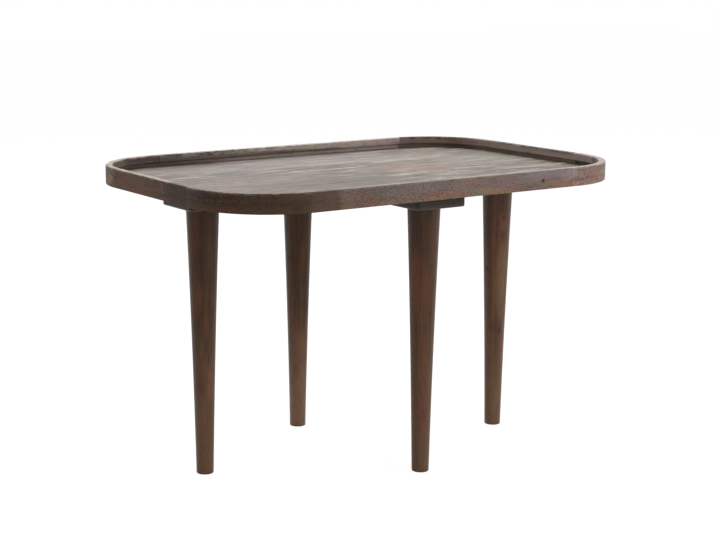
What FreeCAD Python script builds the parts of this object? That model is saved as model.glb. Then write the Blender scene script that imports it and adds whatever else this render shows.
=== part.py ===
import FreeCAD, Part
import math
import os
import Sketcher

# Low table: a rimmed tray of edge-glued boards on four turned legs, each screwed to a square block.
# Origin on the floor under the middle of the tray, X along the tray's length, Z up. Millimetres.

doc = FreeCAD.newDocument("LowTable")

# Driving dimensions: every size that can be chosen by itself, written once.
SIZES = {
    # tray outline and rim section
    "table_height": 445.0,
    "top_length": 700.0,
    "top_width": 468.0,
    "corner_radius": 121.0,
    "rim_height": 27.5,
    "rim_width": 11.0,
    "lip_height": 11.0,
    "reveal_height": 6.5,
    "groove_depth": 5.0,
    "rim_foot": 3.0,
    "rim_arris": 1.6,
    "rim_base_arris": 0.8,
    # rim joints: how far the corner pieces run past their arcs, and the dowels across each joint
    "tail_back_left": 12.0,
    "tail_back_right": -14.0,
    "tail_front_left": 12.0,
    "tail_front_right": 13.0,
    "tail_sides": 12.0,
    "dowel_diameter": 4.0,
    "dowel_length": 22.0,
    "dowel_fit": 0.05,
    # boards of the tray's floor
    "board_count": 6.0,
    "panel_edge_gap": 0.5,
    "panel_fit": 0.1,
    "tongue_depth": 4.0,
    "tongue_thickness": 3.2,
    "tongue_fit": 0.1,
    # blocks under the tray
    "block_width": 84.0,
    "block_height": 22.0,
    "block_corner": 3.0,
    "block_arris": 3.0,
    # legs and their places: inset of the axis from the tray's outline, and its offset sideways
    "end_leg_inset": 92.0,
    "end_leg_aside": 17.5,
    "side_leg_inset": 89.0,
    "side_leg_aside": 14.0,
    "leg_top_diameter": 48.0,
    "leg_foot_diameter": 25.4,
    "leg_hollow": 0.95,
    "leg_top_arris": 1.0,
    "leg_foot_round": 1.2,
    # hanger bolt and threaded sleeve
    "bolt_diameter": 8.0,
    "bolt_length": 52.0,
    "bolt_in_leg": 32.0,
    "bolt_chamfer": 1.0,
    "bolt_fit": 0.05,
    "bolt_end_room": 2.0,
    "sleeve_diameter": 12.0,
    "sleeve_length": 19.0,
    "sleeve_flange_diameter": 16.0,
    "sleeve_flange_height": 1.5,
    "sleeve_fit": 0.05,
    # wood screws through the blocks into the boards
    "screw_count": 4.0,
    "screw_spread": 56.0,
    "screw_diameter": 4.0,
    "screw_length": 28.0,
    "screw_point": 4.0,
    "screw_head_diameter": 8.0,
    "screw_head_height": 2.0,
    "screw_sink": 0.3,
    "screw_fit": 0.1,
    "screw_end_room": 0.3,
    "recess_length": 4.2,
    "recess_width": 1.0,
    "recess_depth": 1.2,
    # every cut runs this far past the solid that it opens
    "overrun": 5.0,
}

# Sizes that follow from the driving ones.
FORMULAS = {
    "half_length": "top_length / 2",
    "half_width": "top_width / 2",
    "rim_base": "table_height - rim_height",
    "inner_half_length": "half_length - rim_width",
    "inner_half_width": "half_width - rim_width",
    "inner_radius": "corner_radius - rim_width",
    "groove_half_length": "inner_half_length + groove_depth",
    "groove_half_width": "inner_half_width + groove_depth",
    "groove_radius": "inner_radius + groove_depth",
    "groove_height": "rim_height - lip_height - rim_foot",
    "board_thickness": "rim_height - lip_height - reveal_height",
    "panel_half_length": "groove_half_length - panel_edge_gap",
    "panel_half_width": "groove_half_width - panel_edge_gap",
    "panel_radius": "groove_radius - panel_edge_gap",
    "panel_rebate": "board_thickness - rim_foot",
    "step_half_length": "inner_half_length - panel_fit",
    "step_half_width": "inner_half_width - panel_fit",
    "step_radius": "inner_radius - panel_fit",
    "blank_length": "2 * panel_half_length + 2 * overrun",
    "board_width": "2 * panel_half_width / board_count",
    "board_half": "board_width / 2",
    "tongue_reach": "board_half + tongue_depth",
    "tongue_low": "(board_thickness - tongue_thickness) / 2",
    "tongue_high": "(board_thickness + tongue_thickness) / 2",
    "slot_reach": "board_half - tongue_depth - tongue_fit",
    "slot_low": "tongue_low - tongue_fit",
    "slot_high": "tongue_high + tongue_fit",
    "seam_back_left": "half_length - corner_radius - tail_back_left",
    "seam_back_right": "half_length - corner_radius - tail_back_right",
    "seam_front_left": "half_length - corner_radius - tail_front_left",
    "seam_front_right": "half_length - corner_radius - tail_front_right",
    "seam_sides": "half_width - corner_radius - tail_sides",
    "end_leg_out": "half_length - end_leg_inset",
    "side_leg_out": "half_width - side_leg_inset",
    "leg_length": "rim_base - block_height",
    "leg_top_radius": "leg_top_diameter / 2",
    "leg_foot_radius": "leg_foot_diameter / 2",
    "leg_top_neck": "leg_top_radius - leg_top_arris",
    "leg_top_shoulder": "leg_length - leg_top_arris",
    "leg_foot_face": "leg_foot_radius - leg_foot_round",
    "block_half": "block_width / 2",
    "bolt_radius": "bolt_diameter / 2",
    "bolt_neck": "bolt_radius - bolt_chamfer",
    "bolt_in_block": "bolt_length - bolt_in_leg",
    "bolt_shoulder_low": "bolt_in_leg - bolt_chamfer",
    "bolt_shoulder_high": "bolt_in_block - bolt_chamfer",
    "bolt_hole_radius": "bolt_radius + bolt_fit",
    "bolt_hole_depth": "bolt_in_leg + bolt_end_room",
    "sleeve_radius": "sleeve_diameter / 2",
    "sleeve_flange_radius": "sleeve_flange_diameter / 2",
    "sleeve_hole_radius": "sleeve_radius + sleeve_fit",
    "flange_hole_radius": "sleeve_flange_radius + sleeve_fit",
    "flange_hole_depth": "sleeve_flange_height + sleeve_fit",
    "screw_radius": "screw_diameter / 2",
    "screw_head_radius": "screw_head_diameter / 2",
    "screw_offset": "screw_spread / 2",
    "screw_taper_start": "screw_length - screw_point",
    "screw_hole_radius": "screw_radius + screw_fit",
    "screw_seat_radius": "screw_head_radius + screw_fit",
    "screw_seat_depth": "screw_sink + screw_head_height",
    "screw_hole_top": "block_height + overrun",
    "pilot_depth": "screw_length + screw_sink - block_height + screw_end_room",
    "recess_half_length": "recess_length / 2",
    "recess_half_width": "recess_width / 2",
}

# Heights, as shares of the leg's length, where its slightly hollow taper is turned to a radius.
TAPER_SHARES = (0.25, 0.5, 0.75)
for number, share in enumerate(TAPER_SHARES, start=1):
    FORMULAS["taper_height_" + str(number)] = "leg_length * " + str(share)
    FORMULAS["taper_radius_" + str(number)] = (
        "leg_foot_radius + (leg_top_radius - leg_foot_radius) * {0} - 4 * leg_hollow * {0} * {1}"
    ).format(share, 1 - share)

sizes = doc.addObject("Spreadsheet::Sheet", "Sizes")
for row, (name, value) in enumerate(SIZES.items(), start=1):
    sizes.set("A" + str(row), name.replace("_", " "))
    sizes.set("B" + str(row), str(value))
    sizes.setAlias("B" + str(row), name)
doc.recompute()


def sheet_formula(text, known):
    """Write a formula with each plain name given its sheet."""
    words = text.split()
    for place, word in enumerate(words):
        bare = word.strip("()")
        if bare in known:
            words[place] = word.replace(bare, known[bare])
    return " ".join(words)


derived = doc.addObject("Spreadsheet::Sheet", "Derived")
REFERENCES = {name: "Sizes." + name for name in SIZES}
LOCAL = dict(REFERENCES)
for row, (name, formula) in enumerate(FORMULAS.items(), start=1):
    derived.set("A" + str(row), name.replace("_", " "))
    derived.set("B" + str(row), "=" + sheet_formula(formula, LOCAL))
    derived.setAlias("B" + str(row), name)
    REFERENCES[name] = "Derived." + name
    LOCAL[name] = name
doc.recompute()


def size(name):
    """Number behind a name; a leading minus turns its sign, and zero is zero."""
    if name == "0":
        return 0.0
    if name.startswith("-"):
        return -size(name[1:])
    sheet = sizes if name in SIZES else derived
    return float(sheet.get(name))


def bind(item, prop, name):
    """Tie a property to a named size."""
    if name.startswith("-"):
        item.setExpression(prop, "-" + REFERENCES[name[1:]])
    elif name != "0":
        item.setExpression(prop, REFERENCES[name])


def plane_of(body, role):
    """Origin plane or axis of a body, by its role."""
    for feature in body.Origin.OriginFeatures:
        if feature.Role == role:
            return feature
    raise ValueError("no origin feature named " + role)


def make_body(name, x="0", y="0", z="0"):
    """Empty body standing at a named place."""
    body = doc.addObject("PartDesign::Body", name)
    body.Label = name
    body.Placement = FreeCAD.Placement(FreeCAD.Vector(size(x), size(y), size(z)), FreeCAD.Rotation())
    bind(body, "Placement.Base.x", x)
    bind(body, "Placement.Base.y", y)
    bind(body, "Placement.Base.z", z)
    return body


def make_sketch(body, name, role="XY_Plane", height="0"):
    """Sketch on one of the body's origin planes, lifted to a named height."""
    sketch = body.newObject("Sketcher::SketchObject", name)
    sketch.AttachmentSupport = [(plane_of(body, role), "")]
    sketch.MapMode = "FlatFace"
    if height != "0":
        sketch.AttachmentOffset = FreeCAD.Placement(
            FreeCAD.Vector(0, 0, size(height)), FreeCAD.Rotation()
        )
        bind(sketch, "AttachmentOffset.Base.z", height)
    return sketch


def pin_point(sketch, edge, end, axis, name):
    """Hold one end of an edge at a named distance from the sketch's origin."""
    kind = "DistanceX" if axis == "x" else "DistanceY"
    if name == "0":
        line = -2 if axis == "x" else -1
        sketch.addConstraint(Sketcher.Constraint("PointOnObject", edge, end, line))
        return
    distance = size(name)
    index = sketch.addConstraint(Sketcher.Constraint(kind, -1, 1, edge, end, distance))
    bind(sketch, "Constraints[" + str(index) + "]", name)


def polygon(sketch, corners):
    """Closed outline of straight lines through named corners."""
    points = [FreeCAD.Vector(size(x), size(y), 0) for x, y in corners]
    count = len(points)
    for place in range(count):
        sketch.addGeometry(Part.LineSegment(points[place], points[(place + 1) % count]), False)
    for place in range(count):
        joint = Sketcher.Constraint("Coincident", place, 2, (place + 1) % count, 1)
        sketch.addConstraint(joint)
    for place, (x, y) in enumerate(corners):
        pin_point(sketch, place, 1, "x", x)
        pin_point(sketch, place, 1, "y", y)


def circle(sketch, radius):
    """Circle about the sketch's origin."""
    sketch.addGeometry(
        Part.Circle(FreeCAD.Vector(0, 0, 0), FreeCAD.Vector(0, 0, 1), size(radius)), False
    )
    sketch.addConstraint(Sketcher.Constraint("Coincident", 0, 3, -1, 1))
    index = sketch.addConstraint(Sketcher.Constraint("Radius", 0, size(radius)))
    bind(sketch, "Constraints[" + str(index) + "]", radius)


def rounded_rectangle(sketch, half_length, half_width, radius):
    """Rectangle about the sketch's origin with four round corners."""
    length, width, round_size = size(half_length), size(half_width), size(radius)
    across, along = length - round_size, width - round_size
    normal = FreeCAD.Vector(0, 0, 1)
    runs = [
        ((-across, -width), (across, -width), (across, -along)),
        ((length, -along), (length, along), (across, along)),
        ((across, width), (-across, width), (-across, along)),
        ((-length, along), (-length, -along), (-across, -along)),
    ]
    for turn, (start, end, centre) in enumerate(runs):
        sketch.addGeometry(
            Part.LineSegment(FreeCAD.Vector(*start, 0), FreeCAD.Vector(*end, 0)), False
        )
        ring = Part.Circle(FreeCAD.Vector(*centre, 0), normal, round_size)
        low = math.radians(90 * (turn - 1))
        sketch.addGeometry(Part.ArcOfCircle(ring, low, low + math.radians(90)), False)
    edges = 2 * len(runs)
    for edge in range(edges):
        sketch.addConstraint(Sketcher.Constraint("Tangent", edge, 2, (edge + 1) % edges, 1))
    for edge in (0, 4):
        sketch.addConstraint(Sketcher.Constraint("Horizontal", edge))
    for edge in (2, 6):
        sketch.addConstraint(Sketcher.Constraint("Vertical", edge))
    for edge in (3, 5, 7):
        sketch.addConstraint(Sketcher.Constraint("Equal", 1, edge))
    index = sketch.addConstraint(Sketcher.Constraint("Radius", 1, round_size))
    bind(sketch, "Constraints[" + str(index) + "]", radius)
    pin_point(sketch, 0, 1, "y", "-" + half_width)
    pin_point(sketch, 2, 1, "x", half_length)
    pin_point(sketch, 4, 1, "y", half_width)
    pin_point(sketch, 6, 1, "x", "-" + half_length)


def pad(body, sketch, length, both_ways=False):
    """Raise a sketch by a named length, or centre that length on it."""
    feature = body.newObject("PartDesign::Pad", sketch.Name + "Pad")
    feature.Profile = sketch
    feature.SideType = "Symmetric" if both_ways else "One side"
    feature.Length = size(length)
    bind(feature, "Length", length)
    sketch.Visibility = False
    doc.recompute()
    return feature


def volume_of(body):
    """Volume of the body as it stands."""
    doc.recompute()
    return body.Shape.Volume


def pocket(body, sketch, depth, upward=True):
    """Cut a sketch's outline out of the body to a named depth, and see that it cut."""
    before = volume_of(body)
    feature = body.newObject("PartDesign::Pocket", sketch.Name + "Pocket")
    feature.Profile = sketch
    feature.Type = "Length"
    feature.Length = size(depth)
    bind(feature, "Length", depth)
    feature.Reversed = upward
    if volume_of(body) >= before:
        raise ValueError(feature.Name + " cuts nothing")
    return feature


def spin(body, sketch, name="Turning"):
    """Turn a half section about the sketch's upright axis."""
    feature = body.newObject("PartDesign::Revolution", name)
    feature.Profile = sketch
    feature.ReferenceAxis = (sketch, ["V_Axis"])
    feature.Angle = 360
    doc.recompute()
    return feature


def edges_where(shape, test):
    """Names of the shape's edges that pass a test."""
    names = []
    for number, edge in enumerate(shape.Edges, start=1):
        if test(edge):
            names.append("Edge" + str(number))
    return names


def dress_edges(body, kind, amount, test):
    """Fillet or chamfer the edges that pass a test by a named amount."""
    base = body.Tip
    names = edges_where(base.Shape, test)
    if not names:
        raise ValueError("no edges to dress on " + body.Label)
    feature = body.newObject("PartDesign::" + kind, kind + amount.title().replace("_", ""))
    feature.Base = (base, names)
    prop = "Radius" if kind == "Fillet" else "Size"
    setattr(feature, prop, size(amount))
    bind(feature, prop, amount)
    doc.recompute()
    return feature


def close(first, second):
    """True where two lengths are the same but for rounding."""
    return math.isclose(first, second, rel_tol=1e-6, abs_tol=1e-4)


def lies_at(edge, height):
    """True where the whole edge lies at one height."""
    return close(edge.BoundBox.ZMin, height) and close(edge.BoundBox.ZMax, height)


def feature_from(name, label, shape):
    """Plain feature that holds a ready-made shape."""
    feature = doc.addObject("Part::Feature", name)
    feature.Label = label
    feature.Shape = shape
    return feature


def boolean(kind, label, base, tool):
    """Common or cut of two solids."""
    feature = doc.addObject("Part::" + kind, label)
    feature.Label = label
    feature.Base = base
    feature.Tool = tool
    doc.recompute()
    return feature


# Places of the legs: side of the table, leg's centre, from the two offsets out and aside.
LEGS = {
    "left": ("-end_leg_out", "end_leg_aside"),
    "right": ("end_leg_out", "-end_leg_aside"),
    "front": ("side_leg_aside", "-side_leg_out"),
    "back": ("-side_leg_aside", "side_leg_out"),
}
PARTS = []


def rim_ring():
    """Whole rim: outline, opening, groove for the boards' edge and softened arrises."""
    body = make_body("RimRing", z="rim_base")
    outline = make_sketch(body, "RimOutline")
    rounded_rectangle(outline, "half_length", "half_width", "corner_radius")
    pad(body, outline, "rim_height")
    opening = make_sketch(body, "RimOpening")
    rounded_rectangle(opening, "inner_half_length", "inner_half_width", "inner_radius")
    pocket(body, opening, "rim_height")
    top = size("rim_height")
    dress_edges(body, "Fillet", "rim_arris", lambda edge: lies_at(edge, top))

    def outer_base(edge):
        """True for the edges of the outline at the ring's base."""
        middle = edge.BoundBox.Center
        at_end = close(abs(middle.x), size("half_length"))
        at_side = close(abs(middle.y), size("half_width"))
        round_corner = close(getattr(edge.Curve, "Radius", 0), size("corner_radius"))
        return lies_at(edge, 0) and (at_end or at_side or round_corner)

    dress_edges(body, "Fillet", "rim_base_arris", outer_base)
    groove = make_sketch(body, "RimGroove", height="rim_foot")
    rounded_rectangle(groove, "groove_half_length", "groove_half_width", "groove_radius")
    pocket(body, groove, "groove_height")
    return body


def seam_cuts():
    """Where each seam crosses the rim: its point and the rim's direction there."""
    middle = size("corner_radius") - size("rim_width") / 2
    places = []
    for side, back in (("back", 1), ("front", -1)):
        for end, right in (("left", -1), ("right", 1)):
            corner = side + "_" + end
            tail = size("tail_" + corner)
            turn = math.asin(max(0.0, -tail) / middle)
            x = right * size("seam_" + corner)
            y = back * (size("half_width") - size("corner_radius") + middle * math.cos(turn))
            places.append((corner, FreeCAD.Vector(x, y, 0), math.degrees(-turn * back * right)))
            x = right * (size("half_length") - size("rim_width") / 2)
            places.append((corner, FreeCAD.Vector(x, back * size("seam_sides"), 0), 90.0))
    return places


def dowel_placement(point, angle):
    """Placement that lays a dowel across a seam, centred in the lip."""
    level = size("table_height") - size("lip_height") / 2
    turn = FreeCAD.Rotation(FreeCAD.Vector(0, 0, 1), angle)
    lay = FreeCAD.Rotation(FreeCAD.Vector(0, 1, 0), 90)
    along = turn.multVec(FreeCAD.Vector(size("dowel_length") / 2, 0, 0))
    return FreeCAD.Placement(FreeCAD.Vector(point.x, point.y, level) - along, turn * lay)


def rim_dowels():
    """Two dowels at each corner piece, one across each of its seams."""
    groups = {}
    holes = []
    radius, length, fit = size("dowel_diameter") / 2, size("dowel_length"), size("dowel_fit")
    for corner, point, angle in seam_cuts():
        number = str(len(groups.get(corner, [])) + 1)
        dowel = doc.addObject("Part::Cylinder", "Dowel_" + corner + "_" + number)
        dowel.Radius = radius
        dowel.Height = length
        dowel.setExpression("Radius", "Sizes.dowel_diameter / 2")
        bind(dowel, "Height", "dowel_length")
        dowel.Placement = dowel_placement(point, angle)
        groups.setdefault(corner, []).append(dowel)
        hole = Part.makeCylinder(radius + fit, length + 2 * fit, FreeCAD.Vector(0, 0, -fit))
        hole.Placement = dowel_placement(point, angle)
        holes.append(hole)
    for corner, dowels in groups.items():
        group = doc.addObject("Part::Compound", "rim_dowels_" + corner)
        group.Label = "rim_dowels_" + corner
        group.Links = dowels
        PARTS.append(group)
    doc.recompute()
    return feature_from("DowelHoles", "dowel_holes", Part.makeCompound(holes))


def region(name, left, right, near, far):
    """Upright box over the rim between four named limits, with room to spare outside."""
    box = doc.addObject("Part::Box", name)
    low_x, high_x, low_y, high_y = size(left), size(right), size(near), size(far)
    box.Length = high_x - low_x
    box.Width = high_y - low_y
    box.Height = size("rim_height")
    bind(box, "Height", "rim_height")
    box.Placement = FreeCAD.Placement(
        FreeCAD.Vector(low_x, low_y, size("rim_base")), FreeCAD.Rotation()
    )
    bind(box, "Placement.Base.z", "rim_base")
    for prop, low, high in (("Length", left, right), ("Width", near, far)):
        box.setExpression(prop, signed(high) + " - " + signed(low))
    box.setExpression("Placement.Base.x", signed(left))
    box.setExpression("Placement.Base.y", signed(near))
    return box


def signed(name):
    """Reference to a named size, with its sign."""
    if name.startswith("-"):
        return "(-" + REFERENCES[name[1:]] + ")"
    return REFERENCES[name]


def rim_pieces():
    """Four straight rails and four curved corners, cut from the ring at its seams."""
    ring = rim_ring()
    holes = rim_dowels()
    regions = {
        "rim_back": ("-seam_back_left", "seam_back_right", "seam_sides", "half_width"),
        "rim_front": ("-seam_front_left", "seam_front_right", "-half_width", "-seam_sides"),
        "rim_left": ("-half_length", "-seam_sides", "-seam_sides", "seam_sides"),
        "rim_right": ("seam_sides", "half_length", "-seam_sides", "seam_sides"),
        "rim_corner_back_left": ("-half_length", "-seam_back_left", "seam_sides", "half_width"),
        "rim_corner_back_right": ("seam_back_right", "half_length", "seam_sides", "half_width"),
        "rim_corner_front_left": (
            "-half_length", "-seam_front_left", "-half_width", "-seam_sides",
        ),
        "rim_corner_front_right": (
            "seam_front_right", "half_length", "-half_width", "-seam_sides",
        ),
    }
    for name, limits in regions.items():
        box = region(name.title().replace("_", "") + "Region", *limits)
        rough = boolean("Common", name + "_rough", ring, box)
        PARTS.append(boolean("Cut", name, rough, holes))


def panel_form():
    """Outline of the glued-up floor: full size where it enters the groove, stepped in below."""
    body = make_body("PanelForm", z="rim_base")
    step = make_sketch(body, "PanelStep")
    rounded_rectangle(step, "step_half_length", "step_half_width", "step_radius")
    pad(body, step, "board_thickness")
    tongue = make_sketch(body, "PanelTongue", height="rim_foot")
    rounded_rectangle(tongue, "panel_half_length", "panel_half_width", "panel_radius")
    pad(body, tongue, "panel_rebate")
    return body


def board_blank(number, count):
    """Straight board with a slot along its near edge and a tongue along its far edge."""
    body = make_body("Blank" + str(number), z="rim_base")
    far_edge = "-Derived.panel_half_width + {0} * Derived.board_width".format(number)
    body.setExpression("Placement.Base.y", far_edge + " - Derived.board_half")
    section = make_sketch(body, "BoardSection" + str(number), role="YZ_Plane")
    corners = [("-board_half", "0"), ("board_half", "0")]
    if number < count:
        corners += [
            ("board_half", "tongue_low"),
            ("tongue_reach", "tongue_low"),
            ("tongue_reach", "tongue_high"),
            ("board_half", "tongue_high"),
        ]
    corners += [("board_half", "board_thickness"), ("-board_half", "board_thickness")]
    if number > 1:
        corners += [
            ("-board_half", "slot_high"),
            ("-slot_reach", "slot_high"),
            ("-slot_reach", "slot_low"),
            ("-board_half", "slot_low"),
        ]
    polygon(section, corners)
    pad(body, section, "blank_length", both_ways=True)
    return body


def screw_points(x, y):
    """Centres of the screws round one leg."""
    offset = size("screw_offset")
    count = int(size("screw_count"))
    reach = offset * math.sqrt(2)
    points = []
    for step in range(count):
        angle = math.radians(45) + 2 * math.pi * step / count
        points.append((size(x) + reach * math.cos(angle), size(y) + reach * math.sin(angle)))
    return points


def pilot_holes():
    """Holes in the boards' undersides that the screws bite into."""
    radius, depth = size("screw_hole_radius"), size("pilot_depth")
    holes = []
    for x, y in LEGS.values():
        for place in screw_points(x, y):
            mouth = FreeCAD.Vector(*place, size("rim_base"))
            holes.append(Part.makeCylinder(radius, depth, mouth))
    return feature_from("PilotHoles", "pilot_holes", Part.makeCompound(holes))


def boards():
    """Boards of the tray's floor, sawn to the tray's outline and drilled for the screws."""
    form = panel_form()
    holes = pilot_holes()
    count = int(size("board_count"))
    for number in range(1, count + 1):
        name = "tray_board_" + str(number)
        sawn = boolean("Common", name + "_sawn", board_blank(number, count), form)
        PARTS.append(boolean("Cut", name, sawn, holes))


def blocks():
    """Square block over each leg, with a stepped hole for the sleeve and countersunk screw holes."""
    for side, (x, y) in LEGS.items():
        name = "leg_block_" + side
        body = make_body(name, x, y, "leg_length")
        outline = make_sketch(body, "BlockOutline_" + side)
        rounded_rectangle(outline, "block_half", "block_half", "block_corner")
        pad(body, outline, "block_height")
        dress_edges(body, "Fillet", "block_arris", lambda edge: lies_at(edge, 0))
        for kind, radius, depth in (
            ("SleeveHole_", "sleeve_hole_radius", "screw_hole_top"),
            ("FlangeHole_", "flange_hole_radius", "flange_hole_depth"),
        ):
            sketch = make_sketch(body, kind + side)
            circle(sketch, radius)
            pocket(body, sketch, depth)
        PARTS.append(body)
        screw_holes(body, side)


def screw_holes(body, side):
    """Countersunk holes through the block, repeated about the leg's axis."""
    before = volume_of(body)
    section = make_sketch(body, "ScrewHole_" + side, role="XZ_Plane")
    section.AttachmentOffset = FreeCAD.Placement(
        FreeCAD.Vector(size("screw_offset"), 0, -size("screw_offset")), FreeCAD.Rotation()
    )
    bind(section, "AttachmentOffset.Base.x", "screw_offset")
    bind(section, "AttachmentOffset.Base.z", "-screw_offset")
    polygon(section, [
        ("0", "0"),
        ("screw_seat_radius", "0"),
        ("screw_seat_radius", "screw_sink"),
        ("screw_hole_radius", "screw_seat_depth"),
        ("screw_hole_radius", "screw_hole_top"),
        ("0", "screw_hole_top"),
    ])
    groove = body.newObject("PartDesign::Groove", "Countersunk_" + side)
    groove.Profile = section
    groove.ReferenceAxis = (section, ["V_Axis"])
    groove.Angle = 360
    doc.recompute()
    pattern = body.newObject("PartDesign::PolarPattern", "ScrewHoles_" + side)
    pattern.Originals = [groove]
    pattern.Axis = (plane_of(body, "Z_Axis"), [""])
    pattern.Angle = 360
    pattern.Occurrences = int(size("screw_count"))
    bind(pattern, "Occurrences", "screw_count")
    body.Tip = pattern
    if volume_of(body) >= before:
        raise ValueError("no screw holes in " + body.Label)


def legs():
    """Turned legs: a slightly hollow taper, softened at top and foot, with a blind bolt hole."""
    taper = []
    for number in range(1, len(TAPER_SHARES) + 1):
        taper.append(("taper_radius_" + str(number), "taper_height_" + str(number)))
    for side, (x, y) in LEGS.items():
        body = make_body("leg_" + side, x, y)
        section = make_sketch(body, "LegSection_" + side, role="XZ_Plane")
        polygon(section, [
            ("0", "0"),
            ("leg_foot_face", "0"),
            ("leg_foot_radius", "leg_foot_round"),
            *taper,
            ("leg_top_radius", "leg_top_shoulder"),
            ("leg_top_neck", "leg_length"),
            ("0", "leg_length"),
        ])
        spin(body, section, "LegTurning_" + side)
        hole = make_sketch(body, "BoltHole_" + side, height="leg_length")
        circle(hole, "bolt_hole_radius")
        pocket(body, hole, "bolt_hole_depth", upward=False)
        PARTS.append(body)


def bolts():
    """Hanger bolts: one end in the leg, the other in the block's sleeve."""
    for side, (x, y) in LEGS.items():
        body = make_body("hanger_bolt_" + side, x, y, "leg_length")
        section = make_sketch(body, "BoltSection_" + side, role="XZ_Plane")
        polygon(section, [
            ("0", "-bolt_in_leg"),
            ("bolt_neck", "-bolt_in_leg"),
            ("bolt_radius", "-bolt_shoulder_low"),
            ("bolt_radius", "bolt_shoulder_high"),
            ("bolt_neck", "bolt_in_block"),
            ("0", "bolt_in_block"),
        ])
        spin(body, section, "BoltTurning_" + side)
        PARTS.append(body)


def sleeves():
    """Threaded sleeves, flanged at the block's underside."""
    for side, (x, y) in LEGS.items():
        body = make_body("threaded_sleeve_" + side, x, y, "leg_length")
        section = make_sketch(body, "SleeveSection_" + side, role="XZ_Plane")
        polygon(section, [
            ("bolt_hole_radius", "0"),
            ("sleeve_flange_radius", "0"),
            ("sleeve_flange_radius", "sleeve_flange_height"),
            ("sleeve_radius", "sleeve_flange_height"),
            ("sleeve_radius", "sleeve_length"),
            ("bolt_hole_radius", "sleeve_length"),
        ])
        spin(body, section, "SleeveTurning_" + side)
        PARTS.append(body)


def pattern_screw():
    """One countersunk wood screw, head down, with a cross recess."""
    body = make_body("PatternScrew")
    section = make_sketch(body, "ScrewSection", role="XZ_Plane")
    polygon(section, [
        ("0", "0"),
        ("screw_head_radius", "0"),
        ("screw_radius", "screw_head_height"),
        ("screw_radius", "screw_taper_start"),
        ("0", "screw_length"),
    ])
    spin(body, section, "ScrewTurning")
    cross = make_sketch(body, "CrossRecess")
    long_side, short_side = "recess_half_length", "recess_half_width"
    polygon(cross, [
        (long_side, "-" + short_side),
        (long_side, short_side),
        (short_side, short_side),
        (short_side, long_side),
        ("-" + short_side, long_side),
        ("-" + short_side, short_side),
        ("-" + long_side, short_side),
        ("-" + long_side, "-" + short_side),
        ("-" + short_side, "-" + short_side),
        ("-" + short_side, "-" + long_side),
        (short_side, "-" + long_side),
        (short_side, "-" + short_side),
    ])
    pocket(body, cross, "recess_depth")
    return body


def screws():
    """A set of screws for each block, every one its own solid."""
    pattern = pattern_screw()
    level = size("leg_length") + size("screw_sink")
    for side, (x, y) in LEGS.items():
        copies = []
        for place in screw_points(x, y):
            copy = pattern.Shape.copy()
            copy.Placement = FreeCAD.Placement(FreeCAD.Vector(*place, level), FreeCAD.Rotation())
            copies.append(copy)
        label = "block_screws_" + side
        PARTS.append(feature_from(label, label, Part.makeCompound(copies)))


boards()
rim_pieces()
blocks()
legs()
bolts()
sleeves()
screws()
doc.recompute()

for item in doc.Objects:
    if "Invalid" in item.State or "Error" in item.State:
        raise ValueError(item.Label + " did not build: " + str(item.State))
for part in PARTS:
    if part.Shape.isNull() or not part.Shape.isValid() or not part.Shape.Solids:
        raise ValueError(part.Label + " is not a sound solid")

os.makedirs("parts", exist_ok=True)
for part in PARTS:
    part.Shape.exportStep("parts/" + part.Label + ".step")
    print(part.Label, len(part.Shape.Solids), "solid(s)", round(part.Shape.Volume), "mm3")
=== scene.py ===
"""Low tray table on four turned legs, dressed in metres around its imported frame."""

import logging
import math
from dataclasses import dataclass, replace
from enum import Enum
from typing import Optional, Sequence, Union

import bmesh
import bpy
from mathutils import Matrix, Vector


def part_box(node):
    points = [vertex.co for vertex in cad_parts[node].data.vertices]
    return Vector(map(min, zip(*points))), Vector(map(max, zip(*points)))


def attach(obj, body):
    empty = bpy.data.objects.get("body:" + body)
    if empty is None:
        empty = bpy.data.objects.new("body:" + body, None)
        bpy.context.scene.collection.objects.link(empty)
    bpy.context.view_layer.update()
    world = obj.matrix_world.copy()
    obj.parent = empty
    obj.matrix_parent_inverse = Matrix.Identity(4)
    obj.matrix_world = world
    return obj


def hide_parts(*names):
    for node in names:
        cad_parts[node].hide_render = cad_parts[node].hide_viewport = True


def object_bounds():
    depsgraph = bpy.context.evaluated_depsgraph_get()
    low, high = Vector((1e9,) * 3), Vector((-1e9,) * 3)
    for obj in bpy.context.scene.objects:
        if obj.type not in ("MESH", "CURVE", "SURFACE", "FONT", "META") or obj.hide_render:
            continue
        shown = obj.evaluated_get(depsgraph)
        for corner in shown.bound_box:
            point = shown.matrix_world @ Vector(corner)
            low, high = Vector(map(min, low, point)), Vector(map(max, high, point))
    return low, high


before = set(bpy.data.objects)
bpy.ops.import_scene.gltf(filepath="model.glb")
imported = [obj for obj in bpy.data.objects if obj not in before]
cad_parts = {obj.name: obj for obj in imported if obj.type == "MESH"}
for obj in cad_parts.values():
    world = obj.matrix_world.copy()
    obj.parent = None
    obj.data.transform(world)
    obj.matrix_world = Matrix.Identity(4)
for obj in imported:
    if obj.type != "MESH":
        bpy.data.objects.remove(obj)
CAD_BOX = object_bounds()
BODY = "root"
MM = 0.001

log = logging.getLogger("low_table")
Point = tuple[float, float]
Triple = tuple[float, float, float]
Colour = tuple[int, int, int]
Wall = tuple[list[Point], list[float], list[float]]
Feed = Union["Socket", float, int, bool, str, tuple, Vector, bpy.types.ID]


class Side(str, Enum):
    """Sides of the tray that have a leg."""

    LEFT = "left"
    RIGHT = "right"
    FRONT = "front"
    BACK = "back"


class Cut(Enum):
    """What a tool does to a piece."""

    AWAY = "DIFFERENCE"
    DOWN_TO = "INTERSECT"


class Grain(Enum):
    """Where the fibres of a piece run."""

    ALONG_X = "x"
    ALONG_Z = "z"
    ALONG_PATH = "path"


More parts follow.
